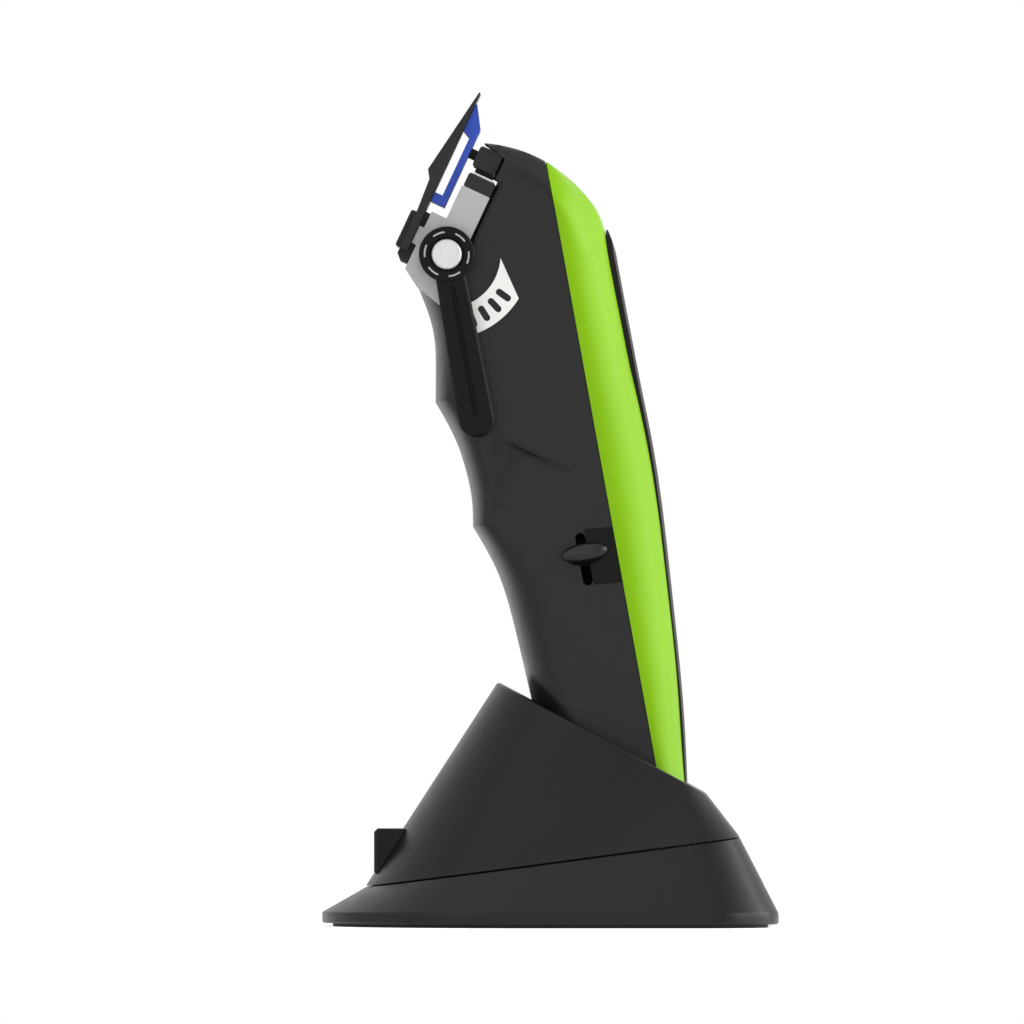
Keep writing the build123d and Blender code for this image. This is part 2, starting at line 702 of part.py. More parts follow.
# Spine panel on the back cover
with BuildPart() as spine_panel:
    add(cover_form(0.0, SEAM_GAP / 2, lift=1.0))
    with BuildSketch(Plane(origin=TAIL, x_dir=(0, 1, 0), z_dir=BACKWARD)):
        with Locations((0, (SPINE_BOTTOM + SPINE_TOP) / 2)):
            RectangleRounded(SPINE_WIDTH, SPINE_TOP - SPINE_BOTTOM, SPINE_CORNER)
    extrude(amount=REACH, mode=Mode.INTERSECT)
    add(cover_form(0.0, SEAM_GAP / 2, lift=SPINE_BED), mode=Mode.SUBTRACT)
spine_panel.part.label = "spine_panel"
export_step(spine_panel.part, "parts/spine_panel.step")

# Screws of the back cover, under the spine panel
with BuildPart() as cover_screws:
    for boss_s in COVER_SCREW_S:
        seat = lookup(lid_rows, boss_s, "back") - COVER_HEAD_SINK - COVER_HEAD_THICK
        axis_plane = Plane(origin=TAIL + UP * boss_s + BACKWARD * seat, x_dir=(0, 1, 0), z_dir=BACKWARD)
        with BuildSketch(axis_plane):
            Circle(COVER_SCREW_HEAD)
        extrude(amount=COVER_HEAD_THICK)
        with BuildSketch(axis_plane):
            Circle(COVER_SCREW_R)
        extrude(amount=-seat - COVER_SCREW_GRIP)
cover_screws.part.label = "cover_screws"
export_step(cover_screws.part, "parts/cover_screws.step")

# Charging contacts in the tail
with BuildPart() as tail_contacts:
    with BuildSketch(across_handle(0)):
        with Locations((-CONTACT_FRONT, -CONTACT_Y), (-CONTACT_FRONT, CONTACT_Y)):
            Circle(CONTACT_R)
    extrude(amount=WALL)
tail_contacts.part.label = "tail_contacts"
export_step(tail_contacts.part, "parts/tail_contacts.step")

# Head chassis, a casting with two cheeks, a front wall and two bars for the screws
tongue_window = TONGUE_WIDTH / 2 + SLIDE_GAP
with BuildPart(BLADE) as head_chassis:
    with BuildSketch(BLADE):
        with BuildLine():
            Polyline(
                (CHASSIS_BACK, CHASSIS_TOP),
                (CHASSIS_NECK, CHASSIS_TOP),
                (CHASSIS_NECK, CHASSIS_LEDGE),
                (CHASSIS_FRONT, CHASSIS_LEDGE),
                (CHASSIS_FRONT, CHASSIS_BOTTOM),
                (CHIN_B, CHIN_A),
                (CHASSIS_BACK, CHIN_END),
                close=True,
            )
        make_face()
    extrude(amount=CHASSIS_HALF, both=True)
    lug_inner = CLAMP_HALF + LUG_GAP
    for lug_span in ((-CHASSIS_HALF, -lug_inner), (lug_inner, CHASSIS_HALF)):
        slab((BLADE_INNER + LUG_GAP, CHASSIS_FRONT), (LUG_LOW, LUG_HIGH), lug_span)
    cheek_inner = CHASSIS_HALF - CHEEK
    window_bottom = foot_bar_a + HEAD_SCREW_HEAD
    slab(
        (CHASSIS_FRONT + CHASSIS_WALL, REACH),
        (window_bottom, CHASSIS_LEDGE - CHASSIS_WALL),
        (-cheek_inner, cheek_inner),
        Mode.SUBTRACT,
    )
    slab(
        (CHASSIS_NECK + CHASSIS_WALL, REACH),
        (window_bottom, CHASSIS_TOP - 2 * HEAD_SCREW_HEAD),
        (-cheek_inner, cheek_inner),
        Mode.SUBTRACT,
    )
    for tongue_y in (-TONGUE_Y, TONGUE_Y):
        slab(
            (-REACH, CHASSIS_NECK + CHASSIS_WALL),
            (TONGUE_BOTTOM - BLADE_TRAVEL - SLIDE_GAP, TONGUE_TOP + SLIDE_GAP),
            (tongue_y - tongue_window, tongue_y + tongue_window),
            Mode.SUBTRACT,
        )
    with BuildSketch(BLADE.offset(cheek_inner)):
        Circle(SHAFT_R + RUNNING)
    extrude(amount=CHEEK, mode=Mode.SUBTRACT)
    with BuildSketch(facing_blade(head_screw_tip)):
        with Locations(*head_screw_spots):
            Circle(HEAD_SCREW_R)
    extrude(amount=-REACH, mode=Mode.SUBTRACT)
head_chassis.part.label = "head_chassis"
export_step(head_chassis.part, "parts/head_chassis.step")

# Drive guide, the black collar on top of the chassis, and the steel rail on it
with BuildPart(BLADE) as drive_guide:
    slab((CHASSIS_NECK + GUIDE_STEP, CHASSIS_BACK), (CHASSIS_TOP, GUIDE_TOP), (-CHASSIS_HALF, CHASSIS_HALF))
    chamfer(drive_guide.edges().filter_by(Axis.Y), GUIDE_EDGE)
drive_guide.part.label = "drive_guide"
export_step(drive_guide.part, "parts/drive_guide.step")

with BuildPart(BLADE) as slide_rail:
    slab(
        (CHASSIS_NECK + RAIL_INSET, CHASSIS_BACK - RAIL_INSET),
        (GUIDE_TOP, GUIDE_TOP + RAIL_THICK),
        (-DRIVE_HALF, DRIVE_HALF),
    )
slide_rail.part.label = "slide_rail"
export_step(slide_rail.part, "parts/slide_rail.step")

# Motor frame, a bent steel channel on the back of the bulkhead
cheek_back = bulkhead_back + FRAME_DEPTH
rod_a = CORE_TOP + AIR_GAP + MAGNET_THICK + YOKE_THICK / 2
rod_b = [CORE_FRONT + CORE_STACK / 2 - ROD_SPREAD / 2, CORE_FRONT + CORE_STACK / 2 + ROD_SPREAD / 2]
frame_half = FRAME_INNER + FRAME_CHEEK
with BuildPart(BLADE) as motor_frame:
    slab((bulkhead_back, head_screw_seat), (FRAME_BOTTOM, FRAME_TOP), (-frame_half, frame_half))
    for side in (-1, 1):
        inner, outer = sorted((side * FRAME_INNER, side * frame_half))
        slab((bulkhead_back, cheek_back), (CORE_BOTTOM, FRAME_TOP), (inner, outer))
    with BuildSketch(BLADE):
        with Locations(*[(b, rod_a) for b in rod_b]):
            Circle(ROD_R)
    extrude(amount=frame_half, both=True, mode=Mode.SUBTRACT)
    with BuildSketch(facing_blade(0)):
        with Locations(*head_screw_spots):
            Circle(HEAD_SCREW_R)
    extrude(amount=-REACH, mode=Mode.SUBTRACT)
motor_frame.part.label = "motor_frame"
export_step(motor_frame.part, "parts/motor_frame.step")

with BuildPart() as chassis_screws:
    with BuildSketch(facing_blade(head_screw_seat)):
        with Locations(*head_screw_spots):
            Circle(HEAD_SCREW_R)
    extrude(amount=head_screw_seat - head_screw_tip)
    with BuildSketch(facing_blade(head_screw_seat)):
        with Locations(*head_screw_spots):
            Circle(HEAD_SCREW_HEAD)
    extrude(amount=-HEAD_SCREW_THICK)
chassis_screws.part.label = "chassis_screws"
export_step(chassis_screws.part, "parts/chassis_screws.step")

# Stator: a three-legged core held between the cheeks, with a coil on the middle leg
core_back = CORE_FRONT + CORE_STACK
with BuildPart(BLADE) as stator_core:
    slab((CORE_FRONT, core_back), (CORE_BOTTOM, CORE_BOTTOM + CORE_YOKE), (-FRAME_INNER, FRAME_INNER))
    slab((CORE_FRONT, core_back), (CORE_BOTTOM, CORE_TOP), (-CORE_LEG / 2, CORE_LEG / 2))
    for side in (-1, 1):
        inner, outer = sorted((side * (FRAME_INNER - CORE_LEG), side * FRAME_INNER))
        slab((CORE_FRONT, core_back), (CORE_BOTTOM, CORE_TOP), (inner, outer))
stator_core.part.label = "stator_core"
export_step(stator_core.part, "parts/stator_core.step")

with BuildPart(BLADE) as stator_coil:
    coil_half = CORE_LEG / 2 + COIL_BUILD
    slab(
        (CORE_FRONT - COIL_BUILD, core_back + COIL_BUILD),
        (CORE_BOTTOM + CORE_YOKE, CORE_TOP - AIR_GAP),
        (-coil_half, coil_half),
    )
    fillet(stator_coil.edges().filter_by(Axis(PIVOT, BLADE_UP)), COIL_CORNER)
    slab((CORE_FRONT, core_back), (-REACH, REACH), (-CORE_LEG / 2, CORE_LEG / 2), Mode.SUBTRACT)
stator_coil.part.label = "stator_coil"
export_step(stator_coil.part, "parts/stator_coil.step")

# Guide rods from cheek to cheek, with a rubber buffer at each end
with BuildPart() as guide_rods:
    with BuildSketch(BLADE):
        with Locations(*[(b, rod_a) for b in rod_b]):
            Circle(ROD_R)
    extrude(amount=frame_half, both=True)
guide_rods.part.label = "guide_rods"
export_step(guide_rods.part, "parts/guide_rods.step")

buffer_length = FRAME_INNER - YOKE_HALF - CUTTER_TRAVEL - BUFFER_GAP
with BuildPart() as rod_buffers:
    for side in (-1, 1):
        with BuildSketch(BLADE.offset(side * FRAME_INNER)):
            with Locations(*[(b, rod_a) for b in rod_b]):
                Circle(BUFFER_R)
                Circle(ROD_R, mode=Mode.SUBTRACT)
        extrude(amount=-side * buffer_length)
rod_buffers.part.label = "rod_buffers"
export_step(rod_buffers.part, "parts/rod_buffers.step")

# Mover: a yoke on the rods with two magnets under it
yoke_bottom = CORE_TOP + AIR_GAP + MAGNET_THICK
yoke_top = yoke_bottom + YOKE_THICK
with BuildPart(BLADE) as mover_yoke:
    slab((CORE_FRONT, core_back), (yoke_bottom, yoke_top), (-YOKE_HALF, YOKE_HALF))
    with BuildSketch(BLADE):
        with Locations(*[(b, rod_a) for b in rod_b]):
            Circle(ROD_R + RUNNING)
    extrude(amount=YOKE_HALF, both=True, mode=Mode.SUBTRACT)
mover_yoke.part.label = "mover_yoke"
export_step(mover_yoke.part, "parts/mover_yoke.step")

with BuildPart(BLADE) as mover_magnets:
    for side in (-1, 1):
        inner, outer = sorted((side * MAGNET_SPLIT / 2, side * (MAGNET_SPLIT / 2 + MAGNET_WIDTH)))
        slab((CORE_FRONT, core_back), (yoke_bottom - MAGNET_THICK, yoke_bottom), (inner, outer))
mover_magnets.part.label = "mover_magnets"
export_step(mover_magnets.part, "parts/mover_magnets.step")

# Drive arm from the mover over the bulkhead to the drive head
with BuildPart() as drive_arm:
    with BuildSketch(BLADE):
        with BuildLine():
            Polyline(
                (DRIVE_BACK, ARM_BOTTOM),
                (DRIVE_BACK, ARM_TOP),
                (ARM_REACH, ARM_TOP),
                (ARM_REACH, yoke_top),
                (CORE_FRONT, yoke_top),
                (CORE_FRONT, ARM_BOTTOM),
                close=True,
            )
        make_face()
    extrude(amount=ARM_WIDTH / 2, both=True)
drive_arm.part.label = "drive_arm"
export_step(drive_arm.part, "parts/drive_arm.step")

# Drive head, the black block behind the moving blade, with the nose that pushes it
nose_a = (DRIVE_BOTTOM + DRIVE_TOP) / 2
nose_tip = CUTTER_OUTER - CUTTER_PLATE
with BuildPart(BLADE) as drive_head:
    slab((DRIVE_FRONT, DRIVE_BACK), (DRIVE_BOTTOM, DRIVE_TOP), (-DRIVE_HALF, DRIVE_HALF))
    chamfer(drive_head.edges().filter_by(Axis.Y), DRIVE_EDGE)
    slab(
        (nose_tip, DRIVE_FRONT),
        (nose_a - DRIVE_NOSE / 4, nose_a + DRIVE_NOSE / 4),
        (-DRIVE_NOSE / 2, DRIVE_NOSE / 2),
    )
    slab(
        (CHASSIS_NECK + SHOE_INSET, CHASSIS_BACK - SHOE_INSET),
        (GUIDE_TOP + RAIL_THICK + RAIL_GAP, DRIVE_BOTTOM),
        (-DRIVE_HALF / 2, DRIVE_HALF / 2),
    )
drive_head.part.label = "drive_head"
export_step(drive_head.part, "parts/drive_head.step")

# Moving blade
cutter_inner = BLADE_INNER + CUTTER_GAP
with BuildPart() as cutter_blade:
    with BuildSketch(BLADE):
        with BuildLine():
            Polyline(
                (CUTTER_OUTER, CUTTER_HEEL),
                (CUTTER_OUTER, CUTTER_TIP - CUTTER_WEDGE),
                (cutter_inner + TOOTH_TIP, CUTTER_TIP),
                (cutter_inner, CUTTER_TIP),
                (cutter_inner, CUTTER_TIP - CUTTER_LAND),
                (CUTTER_OUTER - CUTTER_PLATE, CUTTER_TIP - CUTTER_LAND - CUTTER_RAMP),
                (CUTTER_OUTER - CUTTER_PLATE, CUTTER_HEEL + CUTTER_FOOT),
                (cutter_inner, CUTTER_HEEL + CUTTER_FOOT),
                (cutter_inner, CUTTER_HEEL),
                close=True,
            )
        make_face()
    extrude(amount=CUTTER_HALF, both=True)
    with BuildSketch(BLADE_FACE):
        with GridLocations(CUTTER_PITCH, 1, CUTTER_SLOTS, 1):
            Polygon(*tooth_slot(CUTTER_PITCH, CUTTER_TIP - CUTTER_LAND + SLOT_LEAD, CUTTER_TIP), align=None)
    extrude(amount=REACH, mode=Mode.SUBTRACT)
    with BuildSketch(BLADE_FACE):
        with Locations((0, nose_a)):
            Rectangle(DRIVE_NOSE + 2 * RUNNING, DRIVE_NOSE / 2 + 2 * RUNNING)
    extrude(amount=RUNNING - nose_tip, mode=Mode.SUBTRACT)
cutter_blade.part.label = "cutter_blade"
export_step(cutter_blade.part, "parts/cutter_blade.step")

# Fixed blade
blade_outer = BLADE_INNER - BLADE_THICK
with BuildPart() as fixed_blade:
    with BuildSketch(BLADE):
        with BuildLine():
            Polyline(
                (BLADE_INNER, BLADE_HEEL),
                (BLADE_INNER, BLADE_TIP),
                (BLADE_INNER - TOOTH_TIP, BLADE_TIP),
                (BLADE_STEP_B, BLADE_STEP_A),
                (BLADE_STEP_B + BLADE_STEP_RISE, BLADE_STEP_A - BLADE_STEP_RUN),
                (blade_outer, CLAMP_TOP + CLAMP_LIP),
                (blade_outer, BLADE_HEEL),
                close=True,
            )
        make_face()
    extrude(amount=BLADE_HALF, both=True)
    with BuildSketch(BLADE_FACE):
        with GridLocations(TOOTH_PITCH, 1, TOOTH_SLOTS, 1):
            Polygon(*tooth_slot(TOOTH_PITCH, TOOTH_ROOT, BLADE_TIP), align=None)
    extrude(amount=REACH, mode=Mode.SUBTRACT)
    with BuildSketch(facing_blade(0)):
        with Locations(*clamp_screw_spots):
            Circle(CLAMP_SCREW_R)
    extrude(amount=REACH, mode=Mode.SUBTRACT)
fixed_blade.part.label = "fixed_blade"
export_step(fixed_blade.part, "parts/fixed_blade.step")

# Clamp plate over the fixed blade's heel, and its two screws
clamp_outer = blade_outer - CLAMP_THICK
with BuildPart(BLADE) as blade_clamp:
    slab((clamp_outer, blade_outer), (BLADE_HEEL, CLAMP_TOP), (-CLAMP_HALF, CLAMP_HALF))
    chamfer(blade_clamp.faces().sort_by(Axis(PIVOT, BLADE_AWAY))[0].edges(), CLAMP_EDGE)
    with BuildSketch(facing_blade(0)):
        with Locations(*clamp_screw_spots):
            Circle(CLAMP_SCREW_R)
    extrude(amount=REACH, mode=Mode.SUBTRACT)
    with BuildSketch(facing_blade(clamp_outer + CLAMP_HEAD_SINK)):
        with Locations(*clamp_screw_spots):
            Circle(CLAMP_SCREW_HEAD)
    extrude(amount=REACH, mode=Mode.SUBTRACT)
blade_clamp.part.label = "blade_clamp"
export_step(blade_clamp.part, "parts/blade_clamp.step")

carriage_outer = BLADE_INNER
carriage_inner = CHASSIS_FRONT - CARRIAGE_GAP
with BuildPart() as blade_screws:
    with BuildSketch(facing_blade(clamp_outer + CLAMP_HEAD_SINK)):
        with Locations(*clamp_screw_spots):
            Circle(CLAMP_SCREW_HEAD)
    extrude(amount=CLAMP_HEAD_SINK)
    with BuildSketch(facing_blade(clamp_outer + CLAMP_HEAD_SINK)):
        with Locations(*clamp_screw_spots):
            Circle(CLAMP_SCREW_R)
    extrude(amount=clamp_outer + CLAMP_HEAD_SINK - carriage_inner)
    with BuildSketch(facing_blade(clamp_outer)):
        with Locations(*clamp_screw_spots):
            Rectangle(2 * CLAMP_SCREW_HEAD, CLAMP_SCREW_R / 2)
    extrude(amount=-CLAMP_HEAD_SINK / 2, mode=Mode.SUBTRACT)
blade_screws.part.label = "blade_screws"
export_step(blade_screws.part, "parts/blade_screws.step")

# Blade carriage, which slides on the chassis and is pushed by the lever's crank pin
crank_throw = BLADE_TRAVEL / 2 / sin(radians(LEVER_SWING / 2))
pin_a = BLADE_TRAVEL / 2
pin_b = -crank_throw * cos(radians(LEVER_SWING / 2))
pin_slack = crank_throw - crank_throw * cos(radians(LEVER_SWING / 2)) + 4 * RUNNING
with BuildPart(BLADE) as blade_carriage:
    slab((carriage_outer, carriage_inner), (BLADE_HEEL, CARRIAGE_TOP), (-CLAMP_HALF, CLAMP_HALF))
    with BuildSketch(BLADE):
        with BuildLine():
            Polyline(
                (carriage_inner, BLADE_HEEL),
                (blade_outer, BLADE_HEEL),
                (blade_outer, BLADE_HEEL - CARRIAGE_FOOT + FOOT_CORNER),
                (blade_outer + FOOT_CORNER, BLADE_HEEL - CARRIAGE_FOOT),
                (carriage_inner, BLADE_HEEL - CARRIAGE_FOOT),
                close=True,
            )
        make_face()
    extrude(amount=CLAMP_HALF, both=True)
    for tongue_y in (-TONGUE_Y, TONGUE_Y):
        slab(
            (carriage_inner, TONGUE_BACK),
            (TONGUE_BOTTOM, TONGUE_TOP),
            (tongue_y - TONGUE_WIDTH / 2, tongue_y + TONGUE_WIDTH / 2),
        )
    with BuildSketch(BLADE.offset(TONGUE_Y - TONGUE_WIDTH)):
        with Locations((pin_b - pin_slack / 2 + 2 * RUNNING, pin_a)):
            SlotOverall(2 * (CRANK_PIN + 2 * RUNNING) + pin_slack, 2 * (CRANK_PIN + 2 * RUNNING))
    extrude(amount=2 * TONGUE_WIDTH, mode=Mode.SUBTRACT)
    with BuildSketch(facing_blade(carriage_inner)):
        with Locations(*clamp_screw_spots):
            Circle(CLAMP_SCREW_R)
    extrude(amount=REACH, mode=Mode.SUBTRACT)
blade_carriage.part.label = "blade_carriage"
export_step(blade_carriage.part, "parts/blade_carriage.step")

# Taper lever, parallel to the handle at rest, with its hub on the pivot
lever_inner = HEAD_HALF + SCALE_THICK + LEVER_GAP
LEVER = Plane(origin=PIVOT - Vector(0, lever_inner, 0), x_dir=BACKWARD, z_dir=(0, -1, 0))
recess_floor = HUB_THICK - HUB_RECESS
with BuildPart() as taper_lever:
    with BuildSketch(LEVER):
        Circle(HUB_R)
        with BuildLine():
            Polyline(
                (-LEVER_NECK / 2, 0),
                (-LEVER_END_R, -LEVER_LENGTH),
                (LEVER_END_R, -LEVER_LENGTH),
                (LEVER_NECK / 2, 0),
                close=True,
            )
        make_face()
        with Locations((0, -LEVER_LENGTH)):
            Circle(LEVER_END_R)
    extrude(amount=LEVER_THICK)
    chamfer(taper_lever.faces().sort_by(Axis.Y)[0].edges(), LEVER_BEVEL)
    with BuildSketch(LEVER):
        Circle(HUB_R)
    extrude(amount=HUB_THICK)
    chamfer(taper_lever.faces().sort_by(Axis.Y)[0].edges(), (HUB_THICK - LEVER_THICK) / 2)
    with BuildSketch(LEVER.offset(recess_floor)):
        Circle(HUB_RECESS_R)
    extrude(amount=HUB_THICK, mode=Mode.SUBTRACT)
    with BuildSketch(LEVER.offset(HUB_THICK - MARK_DEPTH)):
        with PolarLocations(0, MARKS, start_angle=MARK_TURN):
            add(ring_mark)
    extrude(amount=HUB_THICK, mode=Mode.SUBTRACT)
    with BuildSketch(LEVER.offset(LEVER_THICK - GROOVE_DEPTH)):
        with Locations((0, -(HUB_R + LEVER_LENGTH) / 2)):
            SlotOverall(LEVER_LENGTH - HUB_R - 2 * GROOVE_END, GROOVE_WIDTH, rotation=90)
    extrude(amount=LEVER_THICK, mode=Mode.SUBTRACT)
    with BuildSketch(LEVER):
        Circle(SHAFT_R + RUNNING)
        with Locations((0, -DETENT_R)):
            Circle(DETENT_BALL + RUNNING)
    extrude(amount=DETENT_DEPTH, mode=Mode.SUBTRACT)
taper_lever.part.label = "taper_lever"
export_step(taper_lever.part, "parts/taper_lever.step")

# Six bright marks let into the hub, and the cap in its recess
with BuildPart() as lever_marks:
    with BuildSketch(LEVER.offset(HUB_THICK - MARK_DEPTH)):
        with PolarLocations(0, MARKS, start_angle=MARK_TURN):
            add(ring_mark)
    extrude(amount=MARK_DEPTH)
lever_marks.part.label = "lever_marks"
export_step(lever_marks.part, "parts/lever_marks.step")

with BuildPart() as lever_cap:
    with BuildSketch(LEVER.offset(recess_floor)):
        Circle(CAP_R)
    extrude(amount=HUB_RECESS + CAP_PROUD)
    fillet(lever_cap.faces().sort_by(Axis.Y)[0].edges(), CAP_PROUD)
lever_cap.part.label = "lever_cap"
export_step(lever_cap.part, "parts/lever_cap.step")

# Lever shaft through the chassis cheek, ending in the crank web and pin
web_outer = lever_inner - cheek_inner + SHAFT_END_PLAY
web_inner = web_outer + CRANK_WEB
pin_end = lever_inner - TONGUE_Y + TONGUE_WIDTH / 2
with BuildPart() as lever_shaft:
    with BuildSketch(LEVER.offset(-web_inner)):
        Circle(SHAFT_R)
    extrude(amount=web_inner + DETENT_DEPTH)
    with BuildSketch(BLADE.offset(lever_inner - web_inner)):
        Circle(SHAFT_R)
        with Locations((pin_b, pin_a)):
            Circle(CRANK_PIN)
        make_hull()
    extrude(amount=CRANK_WEB)
    with BuildSketch(BLADE.offset(lever_inner - pin_end)):
        with Locations((pin_b, pin_a)):
            Circle(CRANK_PIN)
    extrude(amount=pin_end - web_inner)
lever_shaft.part.label = "lever_shaft"
export_step(lever_shaft.part, "parts/lever_shaft.step")

# Detent ball in the lever arm
ball_out = LEVER_GAP - DETENT_CLEAR
with BuildPart(LEVER) as detent_ball:
    with Locations((0, -DETENT_R, DETENT_BALL - ball_out)):
        Sphere(DETENT_BALL)
detent_ball.part.label = "detent_ball"
export_step(detent_ball.part, "parts/detent_ball.step")

# Scale plate on the housing's flank, with a slot for each stop of the lever
lever_angle = -90.0 + LEAN
stops = round(LEVER_SWING / DETENT_PITCH) + 1
with BuildPart() as scale_plate:
    with BuildSketch(Plane(origin=PIVOT - Vector(0, HEAD_HALF, 0), x_dir=(1, 0, 0), z_dir=(0, -1, 0))):
        with BuildLine():
            CenterArc((0, 0), SCALE_OUTER, SCALE_FIRST, SCALE_HORN - SCALE_FIRST)
            CenterArc((0, 0), SCALE_INNER, SCALE_FIRST, SCALE_LAST - SCALE_FIRST)
            Line(polar(SCALE_INNER, SCALE_FIRST), polar(SCALE_OUTER, SCALE_FIRST))
            Line(polar(SCALE_OUTER, SCALE_HORN), polar(SCALE_INNER, SCALE_LAST))
        make_face()
        for stop in range(stops):
            angle = lever_angle + stop * DETENT_PITCH
            with Locations(Location((*polar(DETENT_R, angle), 0), (0, 0, angle))):
                SlotOverall(DETENT_SLOT, DETENT_SLOT_WIDTH, mode=Mode.SUBTRACT)
    extrude(amount=SCALE_THICK)
scale_plate.part.label = "scale_plate"
export_step(scale_plate.part, "parts/scale_plate.step")

# Battery in its cradle, with the control board on the cradle's end walls
cradle_half = BATTERY_R + CRADLE_GAP + CRADLE_WALL
cradle_low = BATTERY_S - CRADLE_GAP - CRADLE_WALL
cradle_high = battery_top_s + CRADLE_GAP + CRADLE_WALL
with BuildPart() as battery_cell:
    with BuildSketch(across_handle(BATTERY_S)):
        with Locations((-BATTERY_FRONT, 0)):
            Circle(BATTERY_R)
    extrude(amount=BATTERY_LENGTH)
    fillet(battery_cell.edges().filter_by(GeomType.CIRCLE), BATTERY_EDGE)
battery_cell.part.label = "battery_cell"
export_step(battery_cell.part, "parts/battery_cell.step")

with BuildPart(HANDLE) as battery_cradle:
    slab((cradle_floor, -BATTERY_FRONT), (cradle_low, cradle_high), (-cradle_half, cradle_half))
    for low in (cradle_low, cradle_high - CRADLE_WALL):
        slab((cradle_floor, BOARD_T), (low, low + CRADLE_WALL), (-cradle_half, cradle_half))
    slab(
        (-BATTERY_FRONT - BATTERY_R, BOARD_T),
        (cradle_low + CRADLE_WALL, cradle_high - CRADLE_WALL),
        (-BATTERY_R - CRADLE_GAP, BATTERY_R + CRADLE_GAP),
        Mode.SUBTRACT,
    )
battery_cradle.part.label = "battery_cradle"
export_step(battery_cradle.part, "parts/battery_cradle.step")

with BuildPart(HANDLE) as control_board:
    slab((BOARD_T, BOARD_T + BOARD_THICK), (cradle_low, cradle_high), (-BOARD_HALF, BOARD_HALF))
    slab(
        (BOARD_T + BOARD_THICK, BOARD_T + BOARD_THICK + CHIP_THICK),
        (battery_mid, battery_mid + CHIP_SIDE),
        (-CHIP_SIDE / 2, CHIP_SIDE / 2),
    )
control_board.part.label = "control_board"
export_step(control_board.part, "parts/control_board.step")

# Slide switch on the cradle's wall, behind the slot in the housing
flange_outer = half_width(SLOT_LOW) - WALL - SWITCH_PLAY
flange_inner = flange_outer - SWITCH_FLANGE
with BuildPart(HANDLE) as slide_switch:
    slab(
        (-SWITCH_FRONT - SWITCH_BODY / 2, -SWITCH_FRONT + SWITCH_BODY / 2),
        (SLOT_LOW, SLOT_HIGH),
        (cradle_half, flange_inner - SWITCH_PLAY),
    )
slide_switch.part.label = "slide_switch"
export_step(slide_switch.part, "parts/slide_switch.step")

# Switch plate beside the slot, and the slider with its oval cap
with BuildPart(HANDLE) as switch_plate:
    slab(
        (panel_front + PANEL_CLEAR, panel_back - PANEL_CLEAR),
        (panel_low + PANEL_CLEAR, panel_high - PANEL_CLEAR),
        (plate_floor, plate_floor + PANEL_THICK),
    )
switch_plate.part.label = "switch_plate"
export_step(switch_plate.part, "parts/switch_plate.step")

stem_half = SLOT_WIDTH / 2 - SWITCH_PLAY
cap_floor = half_width(SLOT_HIGH) + SWITCH_PLAY
with BuildPart(HANDLE) as switch_slider:
    with BuildSketch(HANDLE.offset(cap_floor)):
        with Locations((-SWITCH_FRONT + CAP_SHIFT, SWITCH_S)):
            Ellipse(SWITCH_CAP_LONG / 2, SWITCH_CAP_SHORT / 2)
    extrude(amount=SWITCH_CAP_THICK)
    fillet(switch_slider.faces().sort_by(Axis.Y)[0].edges(), SWITCH_CAP_THICK / 2)
    slab(
        (-SWITCH_FRONT - stem_half, -SWITCH_FRONT + stem_half),
        (SWITCH_S - SWITCH_STEM / 2, SWITCH_S + SWITCH_STEM / 2),
        (flange_inner, cap_floor),
    )
    slab(
        (-SWITCH_FRONT - SWITCH_BODY / 2, -SWITCH_FRONT + SWITCH_BODY / 2),
        (SWITCH_S - SWITCH_STEM / 2 - SWITCH_LIP, SWITCH_S + SWITCH_STEM / 2 + SWITCH_LIP),
        (flange_inner, flange_outer),
    )
switch_slider.part.label = "switch_slider"
export_step(switch_slider.part, "parts/switch_slider.step")

# Dock outlines: the foot of the base, the slanted seam and the slanted rim
SEAM_PLANE = slanted(SEAM_LEFT, SEAM_LEFT_Z, SEAM_RIGHT, SEAM_RIGHT_Z)
RIM_PLANE = slanted(RIM_LEFT, RIM_LEFT_Z, RIM_RIGHT, RIM_RIGHT_Z)
BAND_PLANE = Plane.XY.offset(BAND_TOP)


def band_outline(inset, plane=BAND_PLANE):
    return dock_outline(plane, DOCK_LEFT, DOCK_RIGHT, DOCK_HALF, BAND_NOSE, BAND_CORNER, inset)


def seam_outline(inset, lift=0.0):
    plane = SEAM_PLANE.offset(lift)
    return dock_outline(plane, SEAM_LEFT, SEAM_RIGHT, SEAM_HALF, SEAM_NOSE, SEAM_CORNER, inset)


def rim_outline(inset, lift=0.0):
    plane = RIM_PLANE.offset(lift)
    return dock_outline(plane, RIM_LEFT, RIM_RIGHT, RIM_HALF, RIM_NOSE, RIM_CORNER, inset)


def tail_section(s, row, back, grow):
    """Whole section of the clipper's tail, grown on all sides."""
    half = half_width(s) + grow
    start = SEAM_GAP / 2
    with BuildSketch(across_handle(s)) as section:
        with BuildLine():
            rounded_end(-row.flat, -row.front - grow, half, FINGER_SQUARE)
            Line((-row.flat, -half), (start, -half))
            rounded_end(start, back + grow, -half, COVER_SQUARE)
            Line((start, half), (-row.flat, half))
        make_face()
    return section.sketch


def tail_form(grow, bottom):
    """The clipper's tail grown on all sides, from a height below its end to above the rim."""
    rows = LOWER_GRIP[:TAIL_STATIONS]
    with BuildPart() as form:
        sections = []
        for row in rows:
            s = max(row.s, bottom) if row.s > 0 else bottom
            back = lookup(LOWER_COVER, row.s, "back") + lookup(LOWER_COVER, row.s, "proud")
            sections.append(tail_section(s, row, back, grow))
        loft(sections)
    return form.part


cup_outer = tail_form(POCKET_GAP + CUP_WALL, -FLOOR_GAP - CUP_FLOOR)
cup_inner = tail_form(POCKET_GAP, -FLOOR_GAP)

